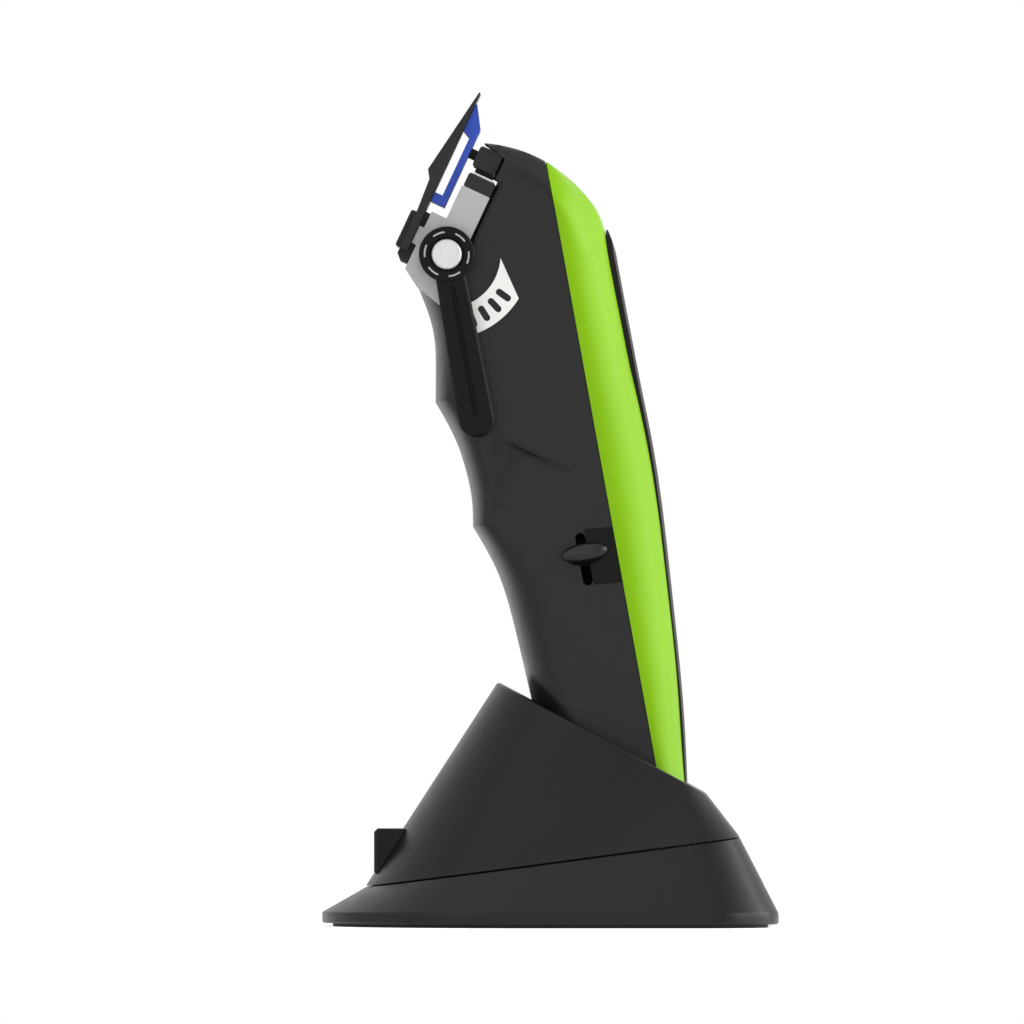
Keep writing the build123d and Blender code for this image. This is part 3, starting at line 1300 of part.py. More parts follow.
# Cradle cup for the tail
cup_bottom = -FLOOR_GAP - CUP_FLOOR
pin_spots = [(-CONTACT_FRONT, -CONTACT_Y), (-CONTACT_FRONT, CONTACT_Y)]
with BuildPart() as cradle_cup:
    add(cup_outer)
    add(cup_inner, mode=Mode.SUBTRACT)
    split(bisect_by=RIM_PLANE, keep=Keep.BOTTOM)
    with BuildSketch(across_handle(cup_bottom)):
        with Locations(*pin_spots):
            Circle(PIN_R + 2 * RUNNING)
    extrude(amount=CUP_FLOOR, mode=Mode.SUBTRACT)
cradle_cup.part.label = "cradle_cup"
export_step(cradle_cup.part, "parts/cradle_cup.step")

# Upper shell of the dock
with BuildPart() as dock_upper_shell:
    loft([seam_outline(0, DOCK_SEAM), rim_outline(0)], ruled=True)
    hollow = [seam_outline(DOCK_WALL, -HOLLOW_PAST), rim_outline(DOCK_WALL, -DOCK_WALL)]
    loft(hollow, ruled=True, mode=Mode.SUBTRACT)
    add(tail_form(POCKET_GAP + CUP_WALL + CUP_SEAT, cup_bottom - CUP_SEAT), mode=Mode.SUBTRACT)
    with BuildSketch(Plane.YZ.offset(INLET_FACE)):
        with Locations((0, INLET_Z)):
            Circle(JACK_R + RUNNING)
    extrude(amount=2 * JACK_LENGTH, mode=Mode.SUBTRACT)
dock_upper_shell.part.label = "dock_upper_shell"
export_step(dock_upper_shell.part, "parts/dock_upper_shell.step")

# Base shell, with posts for the base screws
plate_top = FOOT + PLATE_THICK
dock_screw_spots = [(x, y) for x in DOCK_SCREW_X for y in (-DOCK_SCREW_Y, DOCK_SCREW_Y)]
with BuildPart() as base_outer:
    loft([band_outline(0), seam_outline(0)], ruled=True)
    extrude(band_outline(0, Plane.XY.offset(FOOT)), amount=BAND_TOP - FOOT)
with BuildPart() as base_posts:
    for post_x, post_y in dock_screw_spots:
        near, far = sorted((post_y * (1 - POST_INNER / DOCK_SCREW_Y), 2 * post_y))
        slab((post_x - POST_HALF, post_x + POST_HALF), (near, far), (plate_top, plate_top + POST_HEIGHT))
    add(base_outer.part, mode=Mode.INTERSECT)
with BuildPart() as dock_base_shell:
    add(base_outer.part)
    loft([band_outline(DOCK_WALL), seam_outline(DOCK_WALL, HOLLOW_PAST)], ruled=True, mode=Mode.SUBTRACT)
    extrude(band_outline(DOCK_WALL, Plane.XY), amount=BAND_TOP, mode=Mode.SUBTRACT)
    add(base_posts.part)
    with BuildSketch(Plane.XY.offset(plate_top)):
        with Locations(*dock_screw_spots):
            Circle(DOCK_SCREW_R)
    extrude(amount=DOCK_SCREW_GRIP, mode=Mode.SUBTRACT)
dock_base_shell.part.label = "dock_base_shell"
export_step(dock_base_shell.part, "parts/dock_base_shell.step")

# Base plate, its screws and the rubber foot
with BuildPart() as dock_base_plate:
    extrude(band_outline(DOCK_WALL + PLATE_GAP, Plane.XY.offset(FOOT)), amount=PLATE_THICK)
    with BuildSketch(Plane.XY.offset(FOOT)):
        with Locations(*dock_screw_spots):
            Circle(DOCK_SCREW_HEAD)
    extrude(amount=DOCK_HEAD_THICK, mode=Mode.SUBTRACT)
    with BuildSketch(Plane.XY):
        with Locations(*dock_screw_spots):
            Circle(DOCK_SCREW_R)
    extrude(amount=REACH, mode=Mode.SUBTRACT)
dock_base_plate.part.label = "dock_base_plate"
export_step(dock_base_plate.part, "parts/dock_base_plate.step")

with BuildPart() as dock_screws:
    with BuildSketch(Plane.XY.offset(FOOT)):
        with Locations(*dock_screw_spots):
            Circle(DOCK_SCREW_HEAD)
    extrude(amount=DOCK_HEAD_THICK)
    with BuildSketch(Plane.XY.offset(FOOT)):
        with Locations(*dock_screw_spots):
            Circle(DOCK_SCREW_R)
    extrude(amount=PLATE_THICK + DOCK_SCREW_GRIP)
dock_screws.part.label = "dock_screws"
export_step(dock_screws.part, "parts/dock_screws.step")

with BuildPart() as rubber_foot:
    extrude(band_outline(FOOT_INSET, Plane.XY), amount=FOOT)
rubber_foot.part.label = "rubber_foot"
export_step(rubber_foot.part, "parts/rubber_foot.step")

# Steel ballast on the base plate
with BuildPart() as dock_ballast:
    with BuildSketch(Plane.XY.offset(plate_top)):
        with Locations(((BALLAST_LEFT + BALLAST_RIGHT) / 2, 0)):
            RectangleRounded(BALLAST_RIGHT - BALLAST_LEFT, BALLAST_WIDTH, BALLAST_CORNER)
    extrude(amount=BALLAST_THICK)
dock_ballast.part.label = "dock_ballast"
export_step(dock_ballast.part, "parts/dock_ballast.step")

# Power inlet: a housing on the sloping wall and the jack in it
with BuildPart() as upper_solid:
    loft([seam_outline(0, DOCK_SEAM), rim_outline(0)], ruled=True)
with BuildPart() as inlet_housing:
    slab((INLET_FACE, INLET_FACE + JACK_LENGTH), (-INLET_HALF, INLET_HALF), (INLET_BOTTOM, INLET_TOP))
    chamfer(inlet_housing.faces().sort_by(Axis.X)[0].edges(), INLET_BEVEL)
    add(upper_solid.part, mode=Mode.SUBTRACT)
    add(base_outer.part, mode=Mode.SUBTRACT)
    with BuildSketch(Plane.YZ.offset(INLET_FACE)):
        with Locations((0, INLET_Z)):
            Circle(JACK_R + RUNNING)
    extrude(amount=2 * JACK_LENGTH, mode=Mode.SUBTRACT)
inlet_housing.part.label = "inlet_housing"
export_step(inlet_housing.part, "parts/inlet_housing.step")

with BuildPart() as inlet_jack:
    with BuildSketch(Plane.YZ.offset(INLET_FACE)):
        with Locations((0, INLET_Z)):
            Circle(JACK_R)
    extrude(amount=JACK_LENGTH)
    with BuildSketch(Plane.YZ.offset(INLET_FACE)):
        with Locations((0, INLET_Z)):
            Circle(JACK_BORE)
            Circle(JACK_PIN, mode=Mode.SUBTRACT)
    extrude(amount=JACK_DEPTH, mode=Mode.SUBTRACT)
inlet_jack.part.label = "inlet_jack"
export_step(inlet_jack.part, "parts/inlet_jack.step")

# Contact block under the cup, its board, the two sprung pins and their springs
block_bottom = cup_bottom - BLOCK_HEIGHT
flange_top = cup_bottom - BLOCK_ROOF
flange_bottom = flange_top - PIN_FLANGE_THICK
with BuildPart() as contact_block:
    with BuildSketch(across_handle(block_bottom)):
        with Locations((-CONTACT_FRONT, 0)):
            Rectangle(BLOCK_DEPTH, 2 * CONTACT_Y + BLOCK_DEPTH)
    extrude(amount=BLOCK_HEIGHT)
    with BuildSketch(across_handle(block_bottom)):
        with Locations(*pin_spots):
            Circle(PIN_FLANGE + 2 * RUNNING)
    extrude(amount=BLOCK_HEIGHT - BLOCK_ROOF + RUNNING, mode=Mode.SUBTRACT)
    with BuildSketch(across_handle(block_bottom)):
        with Locations(*pin_spots):
            Circle(PIN_R + 2 * RUNNING)
    extrude(amount=BLOCK_HEIGHT, mode=Mode.SUBTRACT)
contact_block.part.label = "contact_block"
export_step(contact_block.part, "parts/contact_block.step")

with BuildPart() as contact_board:
    with BuildSketch(across_handle(block_bottom - BOARD_THICK)):
        with Locations((-CONTACT_FRONT, 0)):
            Rectangle(BLOCK_DEPTH + 2 * BOARD_MARGIN, 2 * (CONTACT_Y + BOARD_MARGIN) + BLOCK_DEPTH)
    extrude(amount=BOARD_THICK)
contact_board.part.label = "contact_board"
export_step(contact_board.part, "parts/contact_board.step")

with BuildPart() as contact_pins:
    with BuildSketch(across_handle(flange_bottom)):
        with Locations(*pin_spots):
            Circle(PIN_R)
    extrude(amount=-PIN_TOP_GAP - flange_bottom)
    with BuildSketch(across_handle(flange_bottom)):
        with Locations(*pin_spots):
            Circle(PIN_FLANGE)
    extrude(amount=PIN_FLANGE_THICK)
contact_pins.part.label = "contact_pins"
export_step(contact_pins.part, "parts/contact_pins.step")

spring_r = PIN_FLANGE - SPRING_WIRE
spring_height = flange_bottom - block_bottom - 2 * SPRING_WIRE - 2 * RUNNING
with BuildPart() as contact_springs:
    for front, side in pin_spots:
        foot_height = block_bottom + SPRING_WIRE + RUNNING
        foot_point = TAIL + UP * foot_height + BACKWARD * front + Vector(0, side, 0)
        with BuildLine() as coil:
            Helix(spring_height / SPRING_TURNS, spring_height, spring_r, center=foot_point, direction=UP)
        with BuildSketch(Plane(origin=coil.line @ 0, z_dir=coil.line % 0)):
            Circle(SPRING_WIRE)
        sweep(path=coil.line, is_frenet=True)
contact_springs.part.label = "contact_springs"
export_step(contact_springs.part, "parts/contact_springs.step")
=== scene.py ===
import json
from math import cos, pi, radians, sin, tan

import bmesh
import bpy
import numpy as np
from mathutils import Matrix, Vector


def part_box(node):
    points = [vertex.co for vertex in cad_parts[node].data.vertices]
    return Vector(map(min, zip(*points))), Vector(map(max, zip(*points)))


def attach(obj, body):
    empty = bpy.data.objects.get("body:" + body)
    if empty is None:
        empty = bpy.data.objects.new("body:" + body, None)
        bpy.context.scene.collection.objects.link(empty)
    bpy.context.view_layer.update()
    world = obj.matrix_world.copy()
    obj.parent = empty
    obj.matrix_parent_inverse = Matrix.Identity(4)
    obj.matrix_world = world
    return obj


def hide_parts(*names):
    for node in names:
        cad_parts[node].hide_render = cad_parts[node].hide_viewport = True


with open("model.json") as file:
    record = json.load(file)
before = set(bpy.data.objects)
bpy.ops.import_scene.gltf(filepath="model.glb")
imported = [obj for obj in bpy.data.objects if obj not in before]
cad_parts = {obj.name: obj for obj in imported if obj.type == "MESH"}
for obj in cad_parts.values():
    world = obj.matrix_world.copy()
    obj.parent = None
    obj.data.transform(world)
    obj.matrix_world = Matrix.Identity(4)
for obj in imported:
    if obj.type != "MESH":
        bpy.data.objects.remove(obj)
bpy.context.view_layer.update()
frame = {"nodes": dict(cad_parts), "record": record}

scene = bpy.context.scene
nodes = frame["nodes"]
MM = 0.001


# Materials

def srgb(r, g, b):
    """Linear colour of an sRGB colour given from 0 to 255."""
    def channel(v):
        v = v / 255
        return v / 12.92 if v <= 0.04045 else ((v + 0.055) / 1.055) ** 2.4
    return (channel(r), channel(g), channel(b))


def shade(colour, factor):
    return tuple(min(1.0, c * factor) for c in colour) + (1.0,)


MIX_FACTOR, MIX_FIRST, MIX_SECOND, MIX_COLOUR = 0, 6, 7, 2


class Shader:
    """A node material that starts from one Principled shader."""

    def __init__(self, name, **values):
        self.material = bpy.data.materials.new(name)
        self.material.use_nodes = True
        self.tree = self.material.node_tree
        self.bsdf = self.tree.nodes["Principled BSDF"]
        self.coords = self.node("ShaderNodeTexCoord").outputs["Object"]
        for key, value in values.items():
            self.bsdf.inputs[key.replace("_", " ")].default_value = value

    def node(self, kind, **values):
        made = self.tree.nodes.new(kind)
        for key, value in values.items():
            if key in made.inputs:
                made.inputs[key].default_value = value
            else:
                setattr(made, key, value)
        return made

    def link(self, source, target):
        self.tree.links.new(source, target)

    def stretched(self, scale):
        """Object coordinates scaled by axis, for grain that runs one way."""
        mapping = self.node("ShaderNodeMapping", Scale=scale)
        self.link(self.coords, mapping.inputs["Vector"])
        return mapping.outputs["Vector"]

    def noise(self, size_mm, detail=3.0, rough=0.5, vector=None):
        made = self.node("ShaderNodeTexNoise", Scale=1 / (size_mm * MM), Detail=detail, Roughness=rough)
        self.link(vector or self.coords, made.inputs["Vector"])
        return made.outputs["Fac"]

    def ramp(self, value, low, high, from_low=0.35, from_high=0.65):
        made = self.node("ShaderNodeMapRange")
        made.inputs["From Min"].default_value = from_low
        made.inputs["From Max"].default_value = from_high
        made.inputs["To Min"].default_value = low
        made.inputs["To Max"].default_value = high
        self.link(value, made.inputs["Value"])
        return made.outputs["Result"]

    def mix(self, factor, first, second):
        """Colour mix of two colours or colour sockets."""
        made = self.node("ShaderNodeMix", data_type="RGBA")
        self.link(factor, made.inputs[MIX_FACTOR])
        for socket, value in ((made.inputs[MIX_FIRST], first), (made.inputs[MIX_SECOND], second)):
            if isinstance(value, tuple):
                socket.default_value = value
            else:
                self.link(value, socket)
        return made.outputs[MIX_COLOUR]

    def colour(self, socket):
        self.link(socket, self.bsdf.inputs["Base Color"])

    def rough(self, socket):
        self.link(socket, self.bsdf.inputs["Roughness"])

    def bump(self, height, strength, distance_mm):
        made = self.node("ShaderNodeBump", Strength=strength, Distance=distance_mm * MM)
        self.link(height, made.inputs["Height"])
        self.link(made.outputs["Normal"], self.bsdf.inputs["Normal"])


UNSCALED_MM = 1000.0    # noise size that leaves stretched coordinates as they are


def plastic(name, colour, rough, grain_mm=0.35, grain=0.25, mottle=0.10, **values):
    """Moulded plastic: a fine spark-eroded grain, slow tone changes and uneven gloss."""
    made = Shader(name, **values)
    tone = made.ramp(made.noise(16.0, detail=3.0), 0.0, 1.0)
    made.colour(made.mix(tone, shade(colour, 1 - mottle), shade(colour, 1 + mottle)))
    made.rough(made.ramp(made.noise(5.0, detail=4.0), rough - 0.02, rough + 0.03))
    made.bump(made.noise(grain_mm, detail=2.0), strength=grain, distance_mm=0.05)
    return made.material


def brushed(name, colour, rough, across=(60.0, 60.0, 2200.0)):
    """Ground or brushed metal, with lines that run square to the fine axis."""
    made = Shader(name, Metallic=1.0)
    lines = made.noise(UNSCALED_MM, detail=3.0, vector=made.stretched(across))
    cloud = made.ramp(made.noise(6.0, detail=4.0), 0.0, 1.0)
    made.colour(made.mix(cloud, shade(colour, 0.9), shade(colour, 1.1)))
    made.rough(made.ramp(lines, rough - 0.08, rough + 0.12))
    made.bump(lines, strength=0.15, distance_mm=0.03)
    return made.material


def coated(name, colour, rough, wear_colour, **values):
    """Hard coating on steel, thinner in spots where the steel shows a little."""
    made = Shader(name, **values)
    spots = made.ramp(made.noise(2.2, detail=6.0, rough=0.65), 0.0, 1.0, from_low=0.56, from_high=0.78)
    made.colour(made.mix(spots, shade(colour, 1.0), shade(wear_colour, 1.0)))
    lines = made.noise(UNSCALED_MM, detail=2.0, vector=made.stretched((90.0, 1500.0, 90.0)))
    made.rough(made.ramp(lines, rough - 0.06, rough + 0.08))
    made.bump(lines, strength=0.08, distance_mm=0.02)
    return made.material


def cast(name, colour, rough, grain=0.15, **values):
    """Bead-blasted or painted metal: an even fine grain and faint clouds."""
    made = Shader(name, **values)
    cloud = made.ramp(made.noise(9.0, detail=4.0), 0.0, 1.0)
    made.colour(made.mix(cloud, shade(colour, 0.97), shade(colour, 1.03)))
    made.rough(made.ramp(made.noise(3.0, detail=4.0), rough - 0.04, rough + 0.05))
    made.bump(made.noise(0.22, detail=2.0), strength=grain, distance_mm=0.02)
    return made.material


def lacquer(name, colour, flake_colour, **values):
    """Satin lacquer over a coloured base with a fine, faint flake."""
    made = Shader(name, **values)
    flake = made.ramp(made.noise(0.15, detail=2.0), 0.0, 1.0, from_low=0.4, from_high=0.7)
    slow = made.ramp(made.noise(30.0, detail=2.0), 0.0, 1.0)
    tone = made.mix(slow, shade(colour, 0.97), shade(colour, 1.03))
    made.colour(made.mix(flake, tone, shade(flake_colour, 1.0)))
    made.rough(made.ramp(made.noise(8.0, detail=3.0), 0.38, 0.44))
    made.bump(made.noise(0.4, detail=2.0), strength=0.04, distance_mm=0.03)
    return made.material


paint = {}


def add(kind, name, *look, gloss=None, **values):
    """Make a material and keep it under its name. Gloss is a specular level other than the usual one."""
    if gloss is not None:
        values["Specular_IOR_Level"] = gloss
    paint[name] = kind(name, *look, **values)


LIME = srgb(124, 178, 14)
LIME_FLAKE = srgb(135, 187, 24)

add(plastic, "housing_plastic", srgb(21, 21, 22), 0.34, mottle=0.06, gloss=0.22)
add(lacquer, "lime_plastic", LIME, LIME_FLAKE, gloss=0.1, Coat_Weight=0.03, Coat_Roughness=0.22)
add(plastic, "spine_plastic", srgb(18, 18, 19), 0.46, grain_mm=0.5, gloss=0.14)
add(brushed, "screw_steel", srgb(168, 168, 170), 0.3)
add(brushed, "contact_brass", srgb(212, 178, 92), 0.25)
add(cast, "chassis_alloy", srgb(158, 160, 159), 0.42, Metallic=0.5)
add(plastic, "drive_plastic", srgb(18, 18, 19), 0.36, grain=0.12, gloss=0.26)
add(brushed, "rail_steel", srgb(190, 190, 193), 0.28)
add(brushed, "core_steel", srgb(104, 104, 108), 0.5, across=(60.0, 4000.0, 60.0))
add(brushed, "coil_copper", srgb(190, 118, 74), 0.35, across=(90.0, 90.0, 3300.0))
add(plastic, "buffer_rubber", srgb(40, 40, 40), 0.8, grain=0.4)
add(brushed, "magnet_nickel", srgb(206, 204, 200), 0.2)
add(coated, "cutter_blue", srgb(42, 70, 166), 0.32, srgb(60, 90, 184), Metallic=0.35, gloss=0.3)
add(coated, "blade_black", srgb(24, 24, 25), 0.34, srgb(40, 40, 42), Metallic=0.2, gloss=0.26)
add(coated, "carriage_steel", srgb(26, 26, 27), 0.42, srgb(44, 44, 45), Metallic=0.3, gloss=0.26)
add(plastic, "lever_plastic", srgb(11, 11, 12), 0.42, grain=0.2, mottle=0.06, gloss=0.1)
add(cast, "mark_silver", srgb(160, 160, 159), 0.36, Metallic=0.3)
add(cast, "cap_alloy", srgb(196, 196, 194), 0.3, grain=0.04, Metallic=0.35)
add(plastic, "scale_white", srgb(241, 241, 238), 0.35, grain=0.06, mottle=0.02, gloss=0.3)
add(plastic, "cell_sleeve", srgb(60, 100, 170), 0.28, grain=0.05)
add(plastic, "inner_plastic", srgb(62, 62, 64), 0.55)
add(plastic, "board_green", srgb(22, 92, 50), 0.3, grain=0.1)
add(plastic, "panel_black", srgb(14, 14, 15), 0.3, grain=0.05, gloss=0.09)
# Near-black matte with almost no gloss, used as painted shade: the dark inside of the switch slot and the
# shadow under the switch knob
add(plastic, "slot_black", srgb(5, 5, 5), 0.8, grain=0.1, gloss=0.05)
add(plastic, "switch_plastic", srgb(17, 17, 18), 0.24, grain=0.1, gloss=0.3)
add(plastic, "dock_plastic", srgb(18, 18, 19), 0.33, grain_mm=0.45, mottle=0.05, gloss=0.2)
add(plastic, "inlet_black", srgb(13, 13, 14), 0.42, grain=0.2, gloss=0.14)
add(plastic, "cup_plastic", srgb(20, 20, 21), 0.45)
add(plastic, "foot_rubber", srgb(26, 26, 26), 0.75, grain=0.5)
add(brushed, "ballast_steel", srgb(120, 120, 122), 0.5)
add(plastic, "jack_plastic", srgb(24, 24, 25), 0.3)
add(brushed, "spring_steel", srgb(180, 180, 182), 0.25)

OTHER_FINISH = {"inlet_housing": "inlet_black"}
slot_of = {row["node"]: row["material_slot"] for row in frame["record"]["subparts"]}
for name, obj in nodes.items():
    obj.data.materials.clear()
    obj.data.materials.append(paint[OTHER_FINISH.get(name, slot_of[name])])


# Handle frame, in millimetres: s up the handle, t from the seam towards the back, y across

LEAN = radians(10.3)
TILT = radians(25.0)
UP = np.array((-sin(LEAN), 0.0, cos(LEAN)))
BACK = np.array((cos(LEAN), 0.0, sin(LEAN)))
ACROSS = np.array((0.0, 1.0, 0.0))
TAIL = np.array((29.0, 0.0, 18.0))
BLADE_UP = np.array((sin(TILT), 0.0, cos(TILT)))
BLADE_AWAY = np.array((cos(TILT), 0.0, -sin(TILT)))
PIVOT_HIGH = 150.3    # lever's pivot up the handle
PIVOT_FORE = 27.3     # lever's pivot in front of the seam
PIVOT = TAIL + PIVOT_HIGH * UP - PIVOT_FORE * BACK
SEAM = 0.15           # each shell's distance from the seam plane
WALL = 2.0


def placed(origin, first, second):
    """Function that turns lengths along two axes and across the handle into points in metres."""
    def at(u, v, y):
        u, v, y = (np.asarray(w, dtype=float)[..., None] for w in (u, v, y))
        return (origin + u * first + v * second + y * ACROSS) * MM
    return at


# Points of the handle frame, and points about the pivot along the blade's axes and along the handle's
in_handle = placed(TAIL, UP, BACK)
in_blade = placed(PIVOT, BLADE_AWAY, BLADE_UP)
in_lever = placed(PIVOT, BACK, UP)


def on_flank(s, t, depth):
    """Points of the flank on the viewer's side, at a depth under its surface."""
    return in_handle(s, t, depth - half_width(s))


def in_tail(t, y, s):
    """Points of the handle frame, for outlines drawn across the handle."""
    return in_handle(s, t, y)


def down_lever(v, u, y):
    """Points of the lever frame, for outlines drawn along the lever."""
    return in_lever(u, v, y)


def curve(*stations):
    """Natural cubic spline through (s, value) stations."""
    x = np.array([row[0] for row in stations])
    v = np.array([row[1] for row in stations])
    gap = np.diff(x)
    count = len(x)
    system = np.eye(count)
    right = np.zeros(count)
    for i in range(1, count - 1):
        system[i, i - 1:i + 2] = (gap[i - 1], 2 * (gap[i - 1] + gap[i]), gap[i])
        right[i] = 6 * ((v[i + 1] - v[i]) / gap[i] - (v[i] - v[i - 1]) / gap[i - 1])
    bend = np.linalg.solve(system, right)

    def at(s):
        i = np.clip(np.searchsorted(x, s) - 1, 0, count - 2)
        h = gap[i]
        lead = (x[i + 1] - s) / h
        rest = (s - x[i]) / h
        arch = (lead ** 3 - lead) * bend[i] + (rest ** 3 - rest) * bend[i + 1]
        return lead * v[i] + rest * v[i + 1] + arch * h ** 2 / 6
    return at


RIDGES = (85.0, 116.0, 144.0)
front_curves = (
    curve((0, 24.6), (22, 25.6), (42, 26.4), (60, 27.3), (74, 29.1), (85, 32.8)),
    curve((85, 32.8), (91.5, 31.9), (98, 32.0), (106, 33.1), (116, 36.3)),
    curve((116, 36.3), (124, 34.8), (132, 33.8), (144, 35.5)),
    curve((144, 35.5), (160, 35.5), (178, 35.5)),
)
flat_curves = (
    curve((0, 13), (22, 15), (42, 16), (60, 17), (74, 21), (85, 28)),
    curve((85, 28), (91.5, 26), (98, 26), (106, 27), (116, 31)),
    curve((116, 31), (124, 27), (132, 26), (144, 29)),
    curve((144, 29), (160, 29), (178, 29)),
)
back_curves = (
    curve((0, 5.2), (20, 7.0), (42, 9.5), (62, 11.0), (82, 12.2), (98, 12.4), (116, 11.6)),
    curve((116, 11.6), (144, 11.2), (159, 11.2), (178, 11.2)),
)


def along(s, curves, limits):
    """Value at s of a run of curves that meet at the limits."""
    index = np.searchsorted(np.array(limits), s)
    return np.select([index == i for i in range(len(curves))], [made(s) for made in curves])


def front(s):
    return along(s, front_curves, RIDGES)


def flat(s):
    return along(s, flat_curves, RIDGES)


def back(s):
    return along(s, back_curves, RIDGES[1:2])


WIDTH_STATIONS = (0.0, 116.0, 159.0, 178.0)
HALF_WIDTHS = (18.4, 21.6, 21.6, 19.6)
FINGER_POWER = 2.6
COVER_POWER = 2.19


def half_width(s):
    return np.interp(s, WIDTH_STATIONS, HALF_WIDTHS)


def rounding(s, t, y, start, crest, power):
    """Below zero inside a section that is straight up to start and rounded from there to its crest."""
    reach = np.maximum(0.0, t - start) / (crest - start)
    return (reach ** power + (np.abs(y) / half_width(s)) ** power) ** (1 / power) - 1


def finger_section(s, t, y):
    return rounding(s, -t, y, flat(s), front(s), FINGER_POWER)


def cover_section(s, t, y):
    return rounding(s, t, y, SEAM, back(s), COVER_POWER)


def distance(form, s, t, y):
    """A form's value as a length in millimetres, near its surface."""
    step = 0.02
    here = form(s, t, y)
    slopes = (form(s + step, t, y) - here, form(s, t + step, y) - here, form(s, t, y + step) - here)
    steep = np.sqrt(sum((slope / step) ** 2 for slope in slopes))
    return here / np.maximum(steep, 1e-6)


def softly(first, second, width):
    """The larger of two lengths, with the crease between them rounded off."""
    near = np.maximum(width - np.abs(first - second), 0.0) / width
    return np.maximum(first, second) + near ** 2 * width / 4


def ease(value, low, high):
    part = np.clip((value - low) / (high - low), 0.0, 1.0)
    return part * part * (3 - 2 * part)


CROWN_S = 140.8       # middle of the head's round top, in the handle frame
CROWN_T = -22.5
CROWN_RADIUS = 35.3
CROWN_FOOT = 146.0    # the crown lets go of the flanks below this station
CROWN_PULL = 0.6      # how fast it does so
CROWN_EDGE = 0.9      # rounding where the crown meets the flanks
FACET_START = 15.0    # the crown's side facets begin this far from the middle
FACET_SLOPE = tan(radians(40.0))


def crown(s, t, drop):
    """Length above the round top of the head, which drops towards its sides."""
    rise, run = s - CROWN_S, t - CROWN_T
    over = np.where(run > 0, np.hypot(np.maximum(rise, 0.0), run), rise)
    return over - CROWN_RADIUS + drop - CROWN_PULL * np.maximum(0.0, CROWN_FOOT - s)


def facet(y):
    return FACET_SLOPE * np.maximum(0.0, np.abs(y) - FACET_START)


def inside(s, t, first, second):
    """Length left of the line from the first to the second (s, t) point, with s up and t to the right."""
    run = np.hypot(second[0] - first[0], second[1] - first[1])
    return ((second[1] - first[1]) * (s - first[0]) - (second[0] - first[0]) * (t - first[1])) / run


# Finger scoop in (s, t) points of the flank, and how steeply its sides fall, in degrees
SCOOP_FLOOR = ((87.94, -24.3), (90.02, -12.14))
SCOOP_ROOF = ((95.3, -8.98), (104.81, -22.38))
SCOOP_END = -7.0
SCOOP_FRONT = (84.0, -28.8)
FRONT_LEAN = 0.205
CREASE_END = -12.5
CREASE_HALF = 0.42
CREASE_TAPER = 0.022
PIT_CORNERS = ((83.8, -29.1), (87.7, -23.8), (93.0, -27.2))
PIT_FALLS = (17.0, 45.0, 60.0)
ROOF_FALL, FLOOR_FALL, END_FALL, WALL_FALL, CREASE_FALL = 60.0, 11.0, 18.0, 16.0, 40.0


def scoop(s, t, y):
    """Depth inside a flank's finger scoop: sloping sides, a crease below and a pit in its corner."""
    out = np.abs(y) - half_width(s)

    def side(length, degrees):
        return length * sin(radians(degrees)) + out * cos(radians(degrees))

    below = inside(s, t, *SCOOP_FLOOR)
    roof = side(inside(s, t, *SCOOP_ROOF), ROOF_FALL)
    floor = side(below, FLOOR_FALL)
    end = side(SCOOP_END - t, END_FALL)
    wall = side(t - SCOOP_FRONT[1] - FRONT_LEAN * (s - SCOOP_FRONT[0]), WALL_FALL)
    dish = -softly(softly(-roof, -floor, width=1.2), softly(-end, -wall, width=0.5), width=1.0)
    crease_half = CREASE_HALF - CREASE_TAPER * (t - SCOOP_FLOOR[0][1])
    crease = side(np.minimum(crease_half - np.abs(below), CREASE_END - t), CREASE_FALL)
    edges = []
    for i, fall in enumerate(PIT_FALLS):
        edges.append(side(inside(s, t, PIT_CORNERS[i - 1], PIT_CORNERS[i]), fall))
    pit = -softly(softly(-edges[0], -edges[1], width=0.8), -edges[2], width=0.8)
    return np.maximum(softly(dish, pit, width=0.9), crease)


def finger_form(s, t, y):
    body = softly(distance(finger_section, s, t, y), scoop(s, t, y), width=0.5)
    return softly(body, crown(s, t, facet(y)), CROWN_EDGE)


COVER_DROP = 5.2      # the cover's top falls by this much at its widest
COVER_HALF = 21.0
COVER_BLEND = (0.5, 7.0)    # behind the seam, where the facets give way to that drop
COVER_EDGE = 0.8      # more rounding of the cover's top edge from there on
SIDE_EDGE = 4.0       # and more again towards its sides
SIDE_BLEND = (7.0, 13.0)


def cover_form(s, t, y):
    past = ease(t, *COVER_BLEND)
    drop = (1 - past) * facet(y) + past * COVER_DROP * (np.abs(y) / COVER_HALF) ** 3
    width = CROWN_EDGE + past * (COVER_EDGE + SIDE_EDGE * ease(np.abs(y), *SIDE_BLEND))
    return softly(distance(cover_section, s, t, y), crown(s, t, drop), width)


HALVINGS = 30
LONGEST_RAY = 60.0


def halved(outside, count, far):
    """How far rays go, at most up to far, before they get outside, found by halving."""
    near, far = np.zeros(count), np.full(count, far)
    for i in range(HALVINGS):
        middle = (near + far) / 2
        out = outside(middle[:, None])
        far = np.where(out, middle, far)
        near = np.where(out, near, middle)
    return near[:, None]


def leave(form, start, ray):
    """Where rays from inside a form come out of it."""
    return start + ray * halved(lambda length: form(*(start + ray * length).T) > 0, len(start), LONGEST_RAY)


def mesh_object(name, points, faces):
    mesh = bpy.data.meshes.new(name)
    mesh.from_pydata([tuple(p) for p in points], [], faces)
    obj = bpy.data.objects.new(name, mesh)
    scene.collection.objects.link(obj)
    return obj


def smooth(mesh, sharp):
    """Shade a mesh smooth between edges that turn by more than the sharp angle."""
    mesh.shade_smooth()
    mesh.set_sharp_from_angle(angle=radians(sharp))


